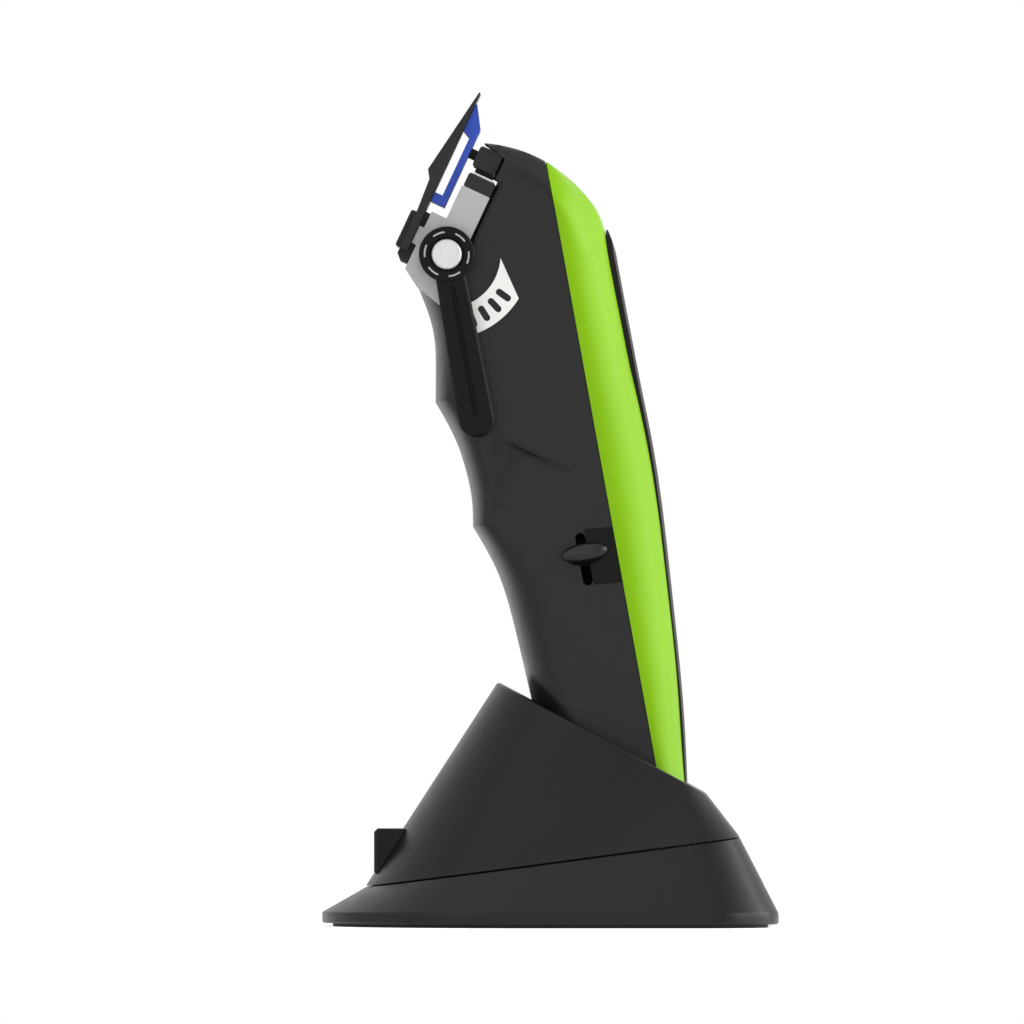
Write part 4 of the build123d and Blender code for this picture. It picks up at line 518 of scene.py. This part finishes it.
def shell(name, form, side, stations, columns, crown_rows, fan=None):
    """Mesh of a form on one side of the seam plane, where rays leave it that start on the middle plane.

    The rays of a station fan out from the seam. With a fan, they do so from a point that far from the
    seam, as far as the fan's share says, and a part of them starts on the way there, square to the flanks.
    """
    flank = columns // 4
    rest = columns - 2 * flank
    way = np.linspace(0.0, 1.0, flank, endpoint=False)
    reach = np.concatenate((way, np.ones(rest), way[::-1]))
    even = np.linspace(-pi / 2, pi / 2, columns)
    ends = np.full(flank, pi / 2)
    square = np.concatenate((-ends, np.linspace(-pi / 2, pi / 2, rest), ends))
    starts, rays = [], []
    for s in stations:
        far, share = fan(s) if fan else (0.0, 0.0)
        turn = even + (square - even) * share
        start = np.tile((s, side * SEAM, 0.0), (columns, 1))
        start[:, 1] += side * far * share * reach
        starts.append(start)
        rays.append(np.stack((np.zeros(columns), side * np.cos(turn), np.sin(turn)), axis=-1))
    for rise in np.linspace(0.0, pi / 2, crown_rows + 1)[1:-1]:
        starts.append(starts[len(stations) - 1])
        rays.append(rays[len(stations) - 1] * cos(rise) + np.array((sin(rise), 0.0, 0.0)))
    rows = len(starts)
    start = np.concatenate(starts + [starts[-1][:1]])
    ray = np.concatenate(rays + [np.array(((1.0, 0.0, 0.0),))])
    points = list(leave(form, start, ray))
    pole = len(points) - 1
    heel = len(points)
    points.append(np.array((stations[0], side * SEAM, 0.0)))
    faces = []
    for i in range(rows - 1):
        for j in range(columns - 1):
            a = i * columns + j
            faces.append((a, a + 1, a + columns + 1, a + columns))
    for j in range(columns - 1):
        last = (rows - 1) * columns + j
        faces.append((last, last + 1, pole))
        faces.append((j + 1, j, heel))
    if side < 0:
        faces = [face[::-1] for face in faces]
    obj = mesh_object(name, in_handle(*np.array(points).T), faces)
    skin = obj.modifiers.new("wall", "SOLIDIFY")
    skin.thickness = WALL * MM
    skin.offset = -1.0
    skin.use_even_offset = True
    return obj


def prism(outline, low, high, place, name="cutter"):
    """Closed mesh object of an outline, drawn out from low to high along its third axis."""
    count = len(outline)
    points = [place(u, v, y) for y in (low, high) for u, v in outline]
    faces = [tuple(range(count)), tuple(range(2 * count - 1, count - 1, -1))]
    faces += [(i, (i + 1) % count, (i + 1) % count + count, i + count) for i in range(count)]
    obj = mesh_object(name, points, faces)
    obj.data.validate()
    return obj


def closed_rings(name, rings, sharp=30.0):
    """Mesh of rings that close on themselves both ways."""
    count, rows = len(rings[0]), len(rings)
    faces = []
    for i in range(rows):
        for j in range(count):
            a, b = i * count, (i + 1) % rows * count
            k = (j + 1) % count
            faces.append((a + j, a + k, b + k, b + j))
    obj = outward(mesh_object(name, np.concatenate(rings) * MM, faces))
    smooth(obj.data, sharp)
    return obj


def outward(obj):
    """Turn a closed mesh's faces outwards."""
    made = bmesh.new()
    made.from_mesh(obj.data)
    bmesh.ops.recalc_face_normals(made, faces=made.faces)
    made.to_mesh(obj.data)
    made.free()
    return obj


def join_into(obj, others):
    """Add other meshes to an object's mesh."""
    made = bmesh.new()
    for part in [obj] + others:
        made.from_mesh(part.data)
    made.to_mesh(obj.data)
    made.free()
    for part in others:
        bpy.data.objects.remove(part)
    return outward(obj)


def bevelled(obj, width):
    edge = obj.modifiers.new("edge", "BEVEL")
    edge.width = width * MM
    edge.segments = 2
    return obj


def carve(obj, cutters=(), sharp=30.0):
    """Cut the cutters out, keep the result as the object's mesh, and shade it smooth."""
    for cutter in cutters:
        cut = obj.modifiers.new("cut", "BOOLEAN")
        cut.object = outward(cutter)
        cut.operation = "DIFFERENCE"
        cut.solver = "EXACT"
    bpy.context.view_layer.update()
    found = obj.evaluated_get(bpy.context.evaluated_depsgraph_get())
    made = bpy.data.meshes.new_from_object(found)
    obj.modifiers.clear()
    obj.data = made
    for cutter in cutters:
        bpy.data.objects.remove(cutter)
    smooth(made, sharp)
    return obj


def dress(obj, body, slot, *replaced):
    """Material, carrying body and replaced CAD nodes of a new piece."""
    obj.data.materials.clear()
    obj.data.materials.append(paint[slot])
    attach(obj, body)
    if replaced:
        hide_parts(*replaced)
    return obj


def capsule(s_low, s_high, width, t):
    """Outline of an upright slot in the handle's flank, as (s, t) pairs."""
    r = width / 2
    turns = np.linspace(0.0, pi, 10)
    top = [(s_high - r + r * sin(a), t + r * cos(a)) for a in turns]
    bottom = [(s_low + r - r * sin(a), t - r * cos(a)) for a in turns]
    return top + bottom


def oval(s, t, s_half, t_half, count):
    turns = np.linspace(0.0, 2 * pi, count, endpoint=False)
    return [(s + s_half * cos(a), t + t_half * sin(a)) for a in turns]


def rectangle(u_low, u_high, v_low, v_high):
    return ((u_low, v_low), (u_high, v_low), (u_high, v_high), (u_low, v_high))


def drawn_in(corners, inset):
    """Corners of a four-sided outline, drawn in on all sides."""
    (low_front, front_t), (high_front, _), (high_back, back_t), (low_back, _) = corners
    return (
        (low_front + inset, front_t + inset), (high_front - inset, front_t + inset),
        (high_back - inset, back_t - inset), (low_back + inset, back_t - inset),
    )


# Housing, with room for the head, the tail's contacts and the switch

PAST = 40.0           # cutters reach this far, well past the housing
NOTCH = (
    (5.1, 21.2), (3.0, 21.2), (3.0, 26.6), (-3.0, 27.9), (-3.0, 80.0), (-80.0, 80.0),
    (-80.0, -7.35), (-7.6, -7.35), (-3.2, -10.15), (5.1, -12.35),
)
VISOR_ROOM = rectangle(-3.0, 4.3, 21.2, 27.5)
VISOR_HALF = 17.1
CONTACT_T, CONTACT_Y, CONTACT_RADIUS = -11.0, 6.0, 2.4
SLOT_T = -8.0
SLOT = capsule(66.3, 79.0, width=2.4, t=SLOT_T)
SWITCH_S = 74.1
SLOT_DEEP = 2 * WALL - float(half_width(SWITCH_S))    # y where the slot's cutter ends, past the wall
PANEL = ((66.2, -6.75), (79.7, -6.75), (79.1, 0.0), (65.6, 0.0))
PANEL_GAP = 0.08
PANEL_FLOOR = 0.7     # depth of the panel's pocket

FAN_DEPTH = 0.64      # part of the way from the seam to the front
FAN_FADE = (108.0, 132.0)


def finger_fan(s):
    """How far from the seam the housing's rays fan out, and to what share, down to none at the head."""
    return FAN_DEPTH * float(front(s)), 1 - float(ease(s, *FAN_FADE))


# Stations from, to and how many: close together where the scoop and the ridges are
FINGER_RUNS = ((0, 78, 46), (78, 85, 16), (85, 106, 54), (106, 116, 13), (116, 134, 16))
finger_rows = np.unique(np.concatenate([np.linspace(*run) for run in FINGER_RUNS]))
housing = shell(
    "housing_shell", finger_form, -1, finger_rows, columns=205, crown_rows=48, fan=finger_fan
)
contact_holes = [
    prism(oval(CONTACT_T, y, CONTACT_RADIUS, CONTACT_RADIUS, count=24), low=-1.0, high=3.0, place=in_tail)
    for y in (-CONTACT_Y, CONTACT_Y)
]
carve(housing, [
    prism(NOTCH, -PAST, PAST, in_blade),
    prism(VISOR_ROOM, -VISOR_HALF, VISOR_HALF, in_blade),
    *contact_holes,
    prism(SLOT, -PAST, SLOT_DEEP, in_handle),
    prism(PANEL, low=-5.0, high=PANEL_FLOOR, place=on_flank),
], sharp=32.0)
dress(housing, "clipper", "housing_plastic", "main_housing")


# Switch: panel, knob, the shoe that carries it with a black skirt under the knob as painted shadow, and a
# near-black sheet behind its slot as painted shade

panel = prism(drawn_in(PANEL, PANEL_GAP), low=0.25, high=0.66, place=on_flank, name="switch_panel")
dress(carve(bevelled(panel, width=0.12)), "clipper", "panel_black", "switch_plate")


def knob(name, s, t, long, short, high, floor):
    """Domed oval knob on the flank, closed underneath."""
    rounds, steps, lip = 72, 16, 0.2
    foot, bulge = 0.94, 0.9
    around = np.linspace(0.0, 2 * pi, rounds, endpoint=False)
    rows = [(foot, floor)]
    for lift in np.linspace(0.0, pi / 2, steps, endpoint=False):
        rows.append((cos(lift) ** bulge, floor + lip + (high - lip) * sin(lift)))
    points = []
    for r, d in rows:
        points += list(on_flank(
            s + short * r * np.sin(around), t + long * r * np.cos(around), np.full(rounds, -d)
        ))
    points += [on_flank(s, t, -floor - high), on_flank(s, t, -floor)]
    top, under = len(points) - 2, len(points) - 1
    last = (len(rows) - 1) * rounds
    faces = []
    for j in range(rounds):
        k = (j + 1) % rounds
        for a in range(0, last, rounds):
            faces.append((a + j, a + k, a + rounds + k, a + rounds + j))
        faces.append((last + j, last + k, top))
        faces.append((k, j, under))
    obj = outward(mesh_object(name, points, faces))
    smooth(obj.data, sharp=40.0)
    return obj


grip = knob("switch_knob", 74.2, -7.6, long=5.6, short=2.3, high=2.1, floor=0.35)
dress(grip, "switch_slider", "switch_plastic", "switch_slider")

stem = capsule(71.9, 76.3, width=2.0, t=SLOT_T)
shoe = prism(stem, low=-0.2, high=2.2, place=on_flank, name="switch_shoe")
join_into(shoe, [
    # Black oval skirt just below the knob, a little off its middle: painted shadow under the knob
    prism(oval(73.4, -7.7, s_half=2.3, t_half=4.3, count=40), low=-0.75, high=-0.2, place=on_flank),
    prism(rectangle(70.9, 77.3, -11.0, -5.0), low=2.15, high=3.0, place=on_flank),
])
dress(carve(shoe), "switch_slider", "slot_black")

# Near-black sheet behind the slot: painted shade inside the slot
well = prism(rectangle(65.6, 79.7, -9.6, -6.4), low=3.3, high=3.7, place=on_flank, name="slot_well")
dress(carve(bevelled(well, width=0.15)), "clipper", "slot_black")


# Back cover, and the tongue that closes the seam from inside

cover_rows = np.linspace(0.0, 140.0, 101)
cover = shell("cover_shell", cover_form, 1, cover_rows, columns=81, crown_rows=44)
dress(carve(cover, sharp=40.0), "clipper", "lime_plastic", "back_cover")

SEAM_FOOT, SEAM_TOP = 1.0, 134.0    # the tongue's lowest station, and where it turns over the top
TONGUE_HALF = 0.7
TONGUE_OUTER, TONGUE_INNER = 0.8, 1.5


def seam_loop(inset, t):
    """Closed outline of the seam, drawn in from the surface, t behind the seam plane."""
    rows = np.linspace(SEAM_FOOT, SEAM_TOP, 90)
    turns = np.linspace(0.0, pi, 60)
    s = np.concatenate((rows, np.full(len(turns), SEAM_TOP), rows[::-1]))
    turn = np.concatenate((np.zeros(len(rows)), turns, np.full(len(rows), pi)))
    none = np.zeros(len(s))
    ray = np.stack((np.sin(turn), none, np.cos(turn)), axis=-1)
    edge = leave(finger_form, np.stack((s, none - SEAM, none), axis=-1), ray) - ray * inset
    return in_handle(edge[:, 0], none + t, edge[:, 2]) / MM


tongue_rings = [
    seam_loop(TONGUE_OUTER, -TONGUE_HALF), seam_loop(TONGUE_OUTER, TONGUE_HALF),
    seam_loop(TONGUE_INNER, TONGUE_HALF), seam_loop(TONGUE_INNER, -TONGUE_HALF),
]
dress(closed_rings("seam_tongue", tongue_rings), "clipper", "housing_plastic")


# Bulkhead behind the head, with pads for the chassis, and cheeks and plugs at its top corners

BULKHEAD_FRONT, BULKHEAD_BACK = 4.3, 6.0
BULKHEAD_LOW, BULKHEAD_HIGH = -12.0, 20.2
BULKHEAD_HALF = 19.8
PAD_Y, PAD_HALF = 12.0, 3.5
CHEEK_START, PLUG_START = 7.5, 17.3    # how far from the middle they begin

plate = rectangle(BULKHEAD_FRONT, BULKHEAD_BACK, BULKHEAD_LOW, BULKHEAD_HIGH)
bulkhead = prism(plate, -BULKHEAD_HALF, BULKHEAD_HALF, in_blade, "bulkhead_wall")
pad = rectangle(3.6, 4.4, BULKHEAD_LOW, BULKHEAD_HIGH)
additions = [prism(pad, y - PAD_HALF, y + PAD_HALF, in_blade) for y in (-PAD_Y, PAD_Y)]
cheek = rectangle(BULKHEAD_FRONT, BULKHEAD_BACK, 20.0, 21.6)
plug = rectangle(3.65, 4.6, 20.0, 23.0)
for outline, start in ((cheek, CHEEK_START), (plug, PLUG_START)):
    for ends in ((-BULKHEAD_HALF, -start), (start, BULKHEAD_HALF)):
        additions.append(prism(outline, *ends, in_blade))
join_into(bulkhead, additions)
dress(carve(bevelled(bulkhead, width=0.25)), "clipper", "housing_plastic")


# Taper lever: silver marks round its hub and a rib in its groove

MARK_COUNT = 6
MARK_START = 101.0    # middle of the first mark, in degrees
MARK_HALF = 16.0
MARK_INNER, MARK_OUTER = 5.1, 5.5

mark_low, mark_high = (corner.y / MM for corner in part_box("lever_marks"))
arcs = []
for i in range(MARK_COUNT):
    span = np.radians(MARK_START + 360.0 / MARK_COUNT * i + np.linspace(-MARK_HALF, MARK_HALF, 13))
    ring = [(MARK_INNER * cos(a), MARK_INNER * sin(a)) for a in span]
    ring += [(MARK_OUTER * cos(a), MARK_OUTER * sin(a)) for a in span[::-1]]
    arcs.append(prism(ring, mark_low, mark_high, in_lever, "hub_marks" if i == 0 else "arc"))
marks = join_into(arcs[0], arcs[1:])
dress(carve(marks), "taper_lever", "mark_silver", "lever_marks")

HUB_PROUD = 0.6       # the hub's face in front of the arm's
RIB_TOP, RIB_FOOT = 0.12, 0.75    # how deep they are under the arm's face

arm_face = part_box("taper_lever")[0].y / MM + HUB_PROUD
ridge = capsule(-39.6, -7.2, width=0.34, t=0.0)
rib = prism(ridge, arm_face + RIB_TOP, arm_face + RIB_FOOT, down_lever, "lever_rib")
dress(carve(rib), "taper_lever", "lever_plastic")


# Dock shells, ruled between slanted outlines with fine rounded edges

NOSE_STEPS, SIDE_STEPS, CORNER_STEPS, BACK_STEPS = 90, 24, 18, 20


class Outline:
    """A plan of the dock on a slanted plane, given by its left and right end heights."""

    def __init__(self, left, left_z, right, right_z, half, nose, corner):
        self.left, self.right, self.half, self.nose, self.corner = left, right, half, nose, corner
        self.slope = (right_z - left_z) / (right - left)
        self.base = left_z - self.slope * left
        flat = np.hypot(1.0, self.slope)
        self.lean = 1 / flat
        self.normal = np.array((-self.slope, 0.0, 1.0)) / flat

    def ring(self, inset=0.0, lift=0.0):
        """Points round the plan, drawn in and lifted square to its plane."""
        side, bend = self.half - inset, self.corner - inset
        nose_x = self.left + self.nose
        end_x = self.right - inset
        turns = np.linspace(pi / 2, 3 * pi / 2, NOSE_STEPS, endpoint=False)
        parts = [np.stack((nose_x + (self.nose - inset) * np.cos(turns), side * np.sin(turns)), axis=-1)]
        run = np.linspace(0.0, 1.0, SIDE_STEPS, endpoint=False)
        bend_x = end_x - bend * self.lean
        parts.append(np.stack((nose_x + (bend_x - nose_x) * run, np.full(SIDE_STEPS, -side)), axis=-1))
        for first, sign in ((-pi / 2, -1), (0.0, 1)):
            turns = np.linspace(first, first + pi / 2, CORNER_STEPS, endpoint=False)
            y = sign * (side - bend) + bend * np.sin(turns)
            parts.append(np.stack((bend_x + bend * self.lean * np.cos(turns), y), axis=-1))
            if sign < 0:
                across = np.linspace(bend - side, side - bend, BACK_STEPS, endpoint=False)
                parts.append(np.stack((np.full(BACK_STEPS, end_x), across), axis=-1))
        parts.append(np.stack((bend_x + (nose_x - bend_x) * run, np.full(SIDE_STEPS, side)), axis=-1))
        plan = np.concatenate(parts)
        points = np.stack((plan[:, 0], plan[:, 1], self.base + self.slope * plan[:, 0]), axis=-1)
        return points + self.normal * lift


def ruled(first, second, rows):
    """Rings from the first to the second, both counted."""
    return [first + (second - first) * share for share in np.linspace(0.0, 1.0, rows)]


MOUTH_X = 12.5        # a place inside the tail, on the rim's plane
SPINE_PROUD = 0.5     # the mouth leaves this much more room behind, for the spine panel


def tail_edge(points, grow):
    """Where rays in the rim's plane leave the tail, grown on all sides."""
    middle = np.array((MOUTH_X, 0.0, rim.base + rim.slope * MOUTH_X))
    ray = points - middle

    def outside(share):
        place = middle + ray * share - TAIL
        s, t, y = place @ UP, place @ BACK, place[:, 1]
        wide = np.abs(y) * half_width(s) / (half_width(s) + grow)
        before = rounding(s, -t, wide, flat(s), front(s) + grow, FINGER_POWER)
        behind = rounding(s, t, wide, SEAM, back(s) + SPINE_PROUD + grow, COVER_POWER)
        return np.where(t < 0, before, behind) > 0

    return middle + ray * halved(outside, len(points), 1.0)


def unit_steps(low, high):
    """Unit steps from each point of one ring to its point on the next."""
    return (high - low) / np.linalg.norm(high - low, axis=1)[:, None]


band = Outline(-54.7, 3.4, 54.7, 3.4, half=43.0, nose=52.0, corner=18.0)
seam = Outline(-44.2, 9.4, 45.4, 21.4, half=35.0, nose=42.0, corner=13.0)
rim = Outline(-12.5, 58.6, 37.4, 31.9, half=27.0, nose=24.0, corner=7.0)
DOCK_WALL = 2.2
RIM_EDGE = 0.7        # radius of the rim's rounded edge
SEAM_LIFT = 0.22      # gap between the dock's two shells
SEAM_EDGE = 0.2       # small chamfer on both sides of that gap
MOUTH_GAP = 2.1       # from the tail to the mouth's edge
MOUTH_SHARE, MOUTH_DROP = 0.03, 0.3    # small bevel on the mouth's edge
SEAM_ROW = 0.5        # the upper shell's first full row, above its chamfer
FOOT_ROW = 0.25       # the base shell's first row, above its upright band
BASE_MARGIN = 0.6     # the base shell's full rows keep this far from both ends
RIM_SHARES = (0.3, 0.65)    # rows on the way from the rim's edge to the mouth
UPPER_ROWS, RIM_ROWS, BASE_ROWS = 16, 7, 12

seam_low, rim_high = seam.ring(0.0, SEAM_LIFT), rim.ring()
climb = unit_steps(seam_low, rim_high)
inward = rim.ring(1.0) - rim_high
mouth = tail_edge(rim_high, MOUTH_GAP)
rings = [seam.ring(DOCK_WALL, SEAM_LIFT), seam.ring(SEAM_EDGE, SEAM_LIFT), seam_low + climb * SEAM_EDGE]
rings += ruled(seam_low + climb * SEAM_ROW, rim_high - climb * 2 * RIM_EDGE, UPPER_ROWS)
for turn in np.linspace(0.0, pi / 2, RIM_ROWS):
    rings.append(rim_high - climb * RIM_EDGE * (1 - sin(turn)) + inward * RIM_EDGE * (1 - cos(turn)))
rings += [rim_high + (mouth - rim_high) * share for share in RIM_SHARES]
rings += [mouth - (mouth - rim_high) * MOUTH_SHARE, mouth - rim.normal * MOUTH_DROP]
rings += [mouth - rim.normal * DOCK_WALL, rim.ring(DOCK_WALL, -DOCK_WALL)]
dress(closed_rings("dock_upper", rings), "dock", "dock_plastic", "dock_upper_shell")

foot_ring, seam_top = band.ring(), seam.ring()
climb = unit_steps(foot_ring, seam_top)
# Inset and lift of the rings round the upright band at the dock's foot
BAND_STEPS = ((DOCK_WALL, -2.6), (0.4, -2.6), (0.0, -2.2), (0.0, -1.2), (0.0, -0.5), (0.04, -0.15))
rings = [band.ring(*step) for step in BAND_STEPS]
rings.append(foot_ring + climb * FOOT_ROW)
rings += ruled(foot_ring + climb * BASE_MARGIN, seam_top - climb * BASE_MARGIN, BASE_ROWS)
rings += [seam_top - climb * SEAM_EDGE, seam.ring(SEAM_EDGE), seam.ring(DOCK_WALL), band.ring(DOCK_WALL)]
dress(closed_rings("dock_base", rings), "dock", "dock_plastic", "dock_base_shell")


# Studio: pale floor, white surround, soft boxes and the camera

WHITE = (1.0, 1.0, 1.0, 1.0)
FLOOR_PAINT = (0.9, 0.9, 0.9, 1.0)
FLOOR_GLOW = 0.62
FLOOR_REACH = 0.8
WORLD_LIGHT = 0.3


def level_by_ray(tree, seen_level, other_level):
    """Socket with one level for camera, glossy and transmission rays, and another for the rest."""
    path = tree.nodes.new("ShaderNodeLightPath")
    seen = path.outputs["Is Camera Ray"]
    for ray in ("Is Glossy Ray", "Is Transmission Ray"):
        either = tree.nodes.new("ShaderNodeMath")
        either.operation = "MAXIMUM"
        tree.links.new(seen, either.inputs[0])
        tree.links.new(path.outputs[ray], either.inputs[1])
        seen = either.outputs[0]
    level = tree.nodes.new("ShaderNodeMapRange")
    level.inputs["To Min"].default_value = other_level
    level.inputs["To Max"].default_value = seen_level
    tree.links.new(seen, level.inputs["Value"])
    return level.outputs["Result"]


def floor_material():
    made = Shader("floor_white", Base_Color=FLOOR_PAINT, Roughness=0.9, Emission_Color=WHITE)
    made.link(level_by_ray(made.tree, FLOOR_GLOW, 0.0), made.bsdf.inputs["Emission Strength"])
    return made.material


def surround():
    """World that is white where it is seen, and a plain level of light elsewhere."""
    world = bpy.data.worlds.new("surround")
    scene.world = world
    world.use_nodes = True
    tree = world.node_tree
    background = tree.nodes["Background"]
    background.inputs["Color"].default_value = WHITE
    tree.links.new(level_by_ray(tree, 1.0, WORLD_LIGHT), background.inputs["Strength"])


LIGHT_TARGET = Vector((0.0, 0.0, 0.1))


def soft_box(name, location, width, height, power):
    data = bpy.data.lights.new(name, "AREA")
    data.shape = "RECTANGLE"
    data.size = width
    data.size_y = height
    data.energy = power
    obj = bpy.data.objects.new(name, data)
    scene.collection.objects.link(obj)
    obj.location = location
    obj.rotation_euler = (LIGHT_TARGET - Vector(location)).to_track_quat("-Z", "Y").to_euler()


surround()
soft_box("front", (-0.45, -1.42, 0.26), width=1.9, height=1.05, power=5.2)
soft_box("strip", (-0.88, -1.1, 0.28), width=0.5, height=1.0, power=0.6)
soft_box("left", (-1.35, -0.4, 0.34), width=1.1, height=1.2, power=2.0)
soft_box("top", (-0.35, -0.68, 1.42), width=1.7, height=1.6, power=6.0)
soft_box("right", (1.27, -0.12, 0.4), width=1.9, height=1.1, power=26.0)

floor_corners = [
    (x, y, 0.0) for x, y in rectangle(-FLOOR_REACH, FLOOR_REACH, -FLOOR_REACH, FLOOR_REACH)
]
floor = mesh_object("floor", floor_corners, [(0, 1, 2, 3)])
floor.data.materials.append(floor_material())

scene.view_settings.view_transform = "Standard"
PIXEL = 0.24 * MM              # real size of a pixel of the photograph
PHOTO_SIZE = 1024
ORIGIN_PIXEL = (550, 926)      # where the photograph shows the part's origin
SENSOR = 36.0
DISTANCE = 7.0
FRAME_WIDTH = PHOTO_SIZE * PIXEL
FRAME_CENTRE = ((PHOTO_SIZE / 2 - ORIGIN_PIXEL[0]) * PIXEL, (ORIGIN_PIXEL[1] - PHOTO_SIZE / 2) * PIXEL)
lens = bpy.data.cameras.new("camera")
lens.sensor_width = SENSOR
lens.lens = SENSOR * DISTANCE / FRAME_WIDTH
lens.clip_end = 40.0
camera = bpy.data.objects.new("camera", lens)
camera.location = (FRAME_CENTRE[0], -DISTANCE, FRAME_CENTRE[1])
camera.rotation_euler = (pi / 2, 0.0, 0.0)
scene.collection.objects.link(camera)
scene.camera = camera
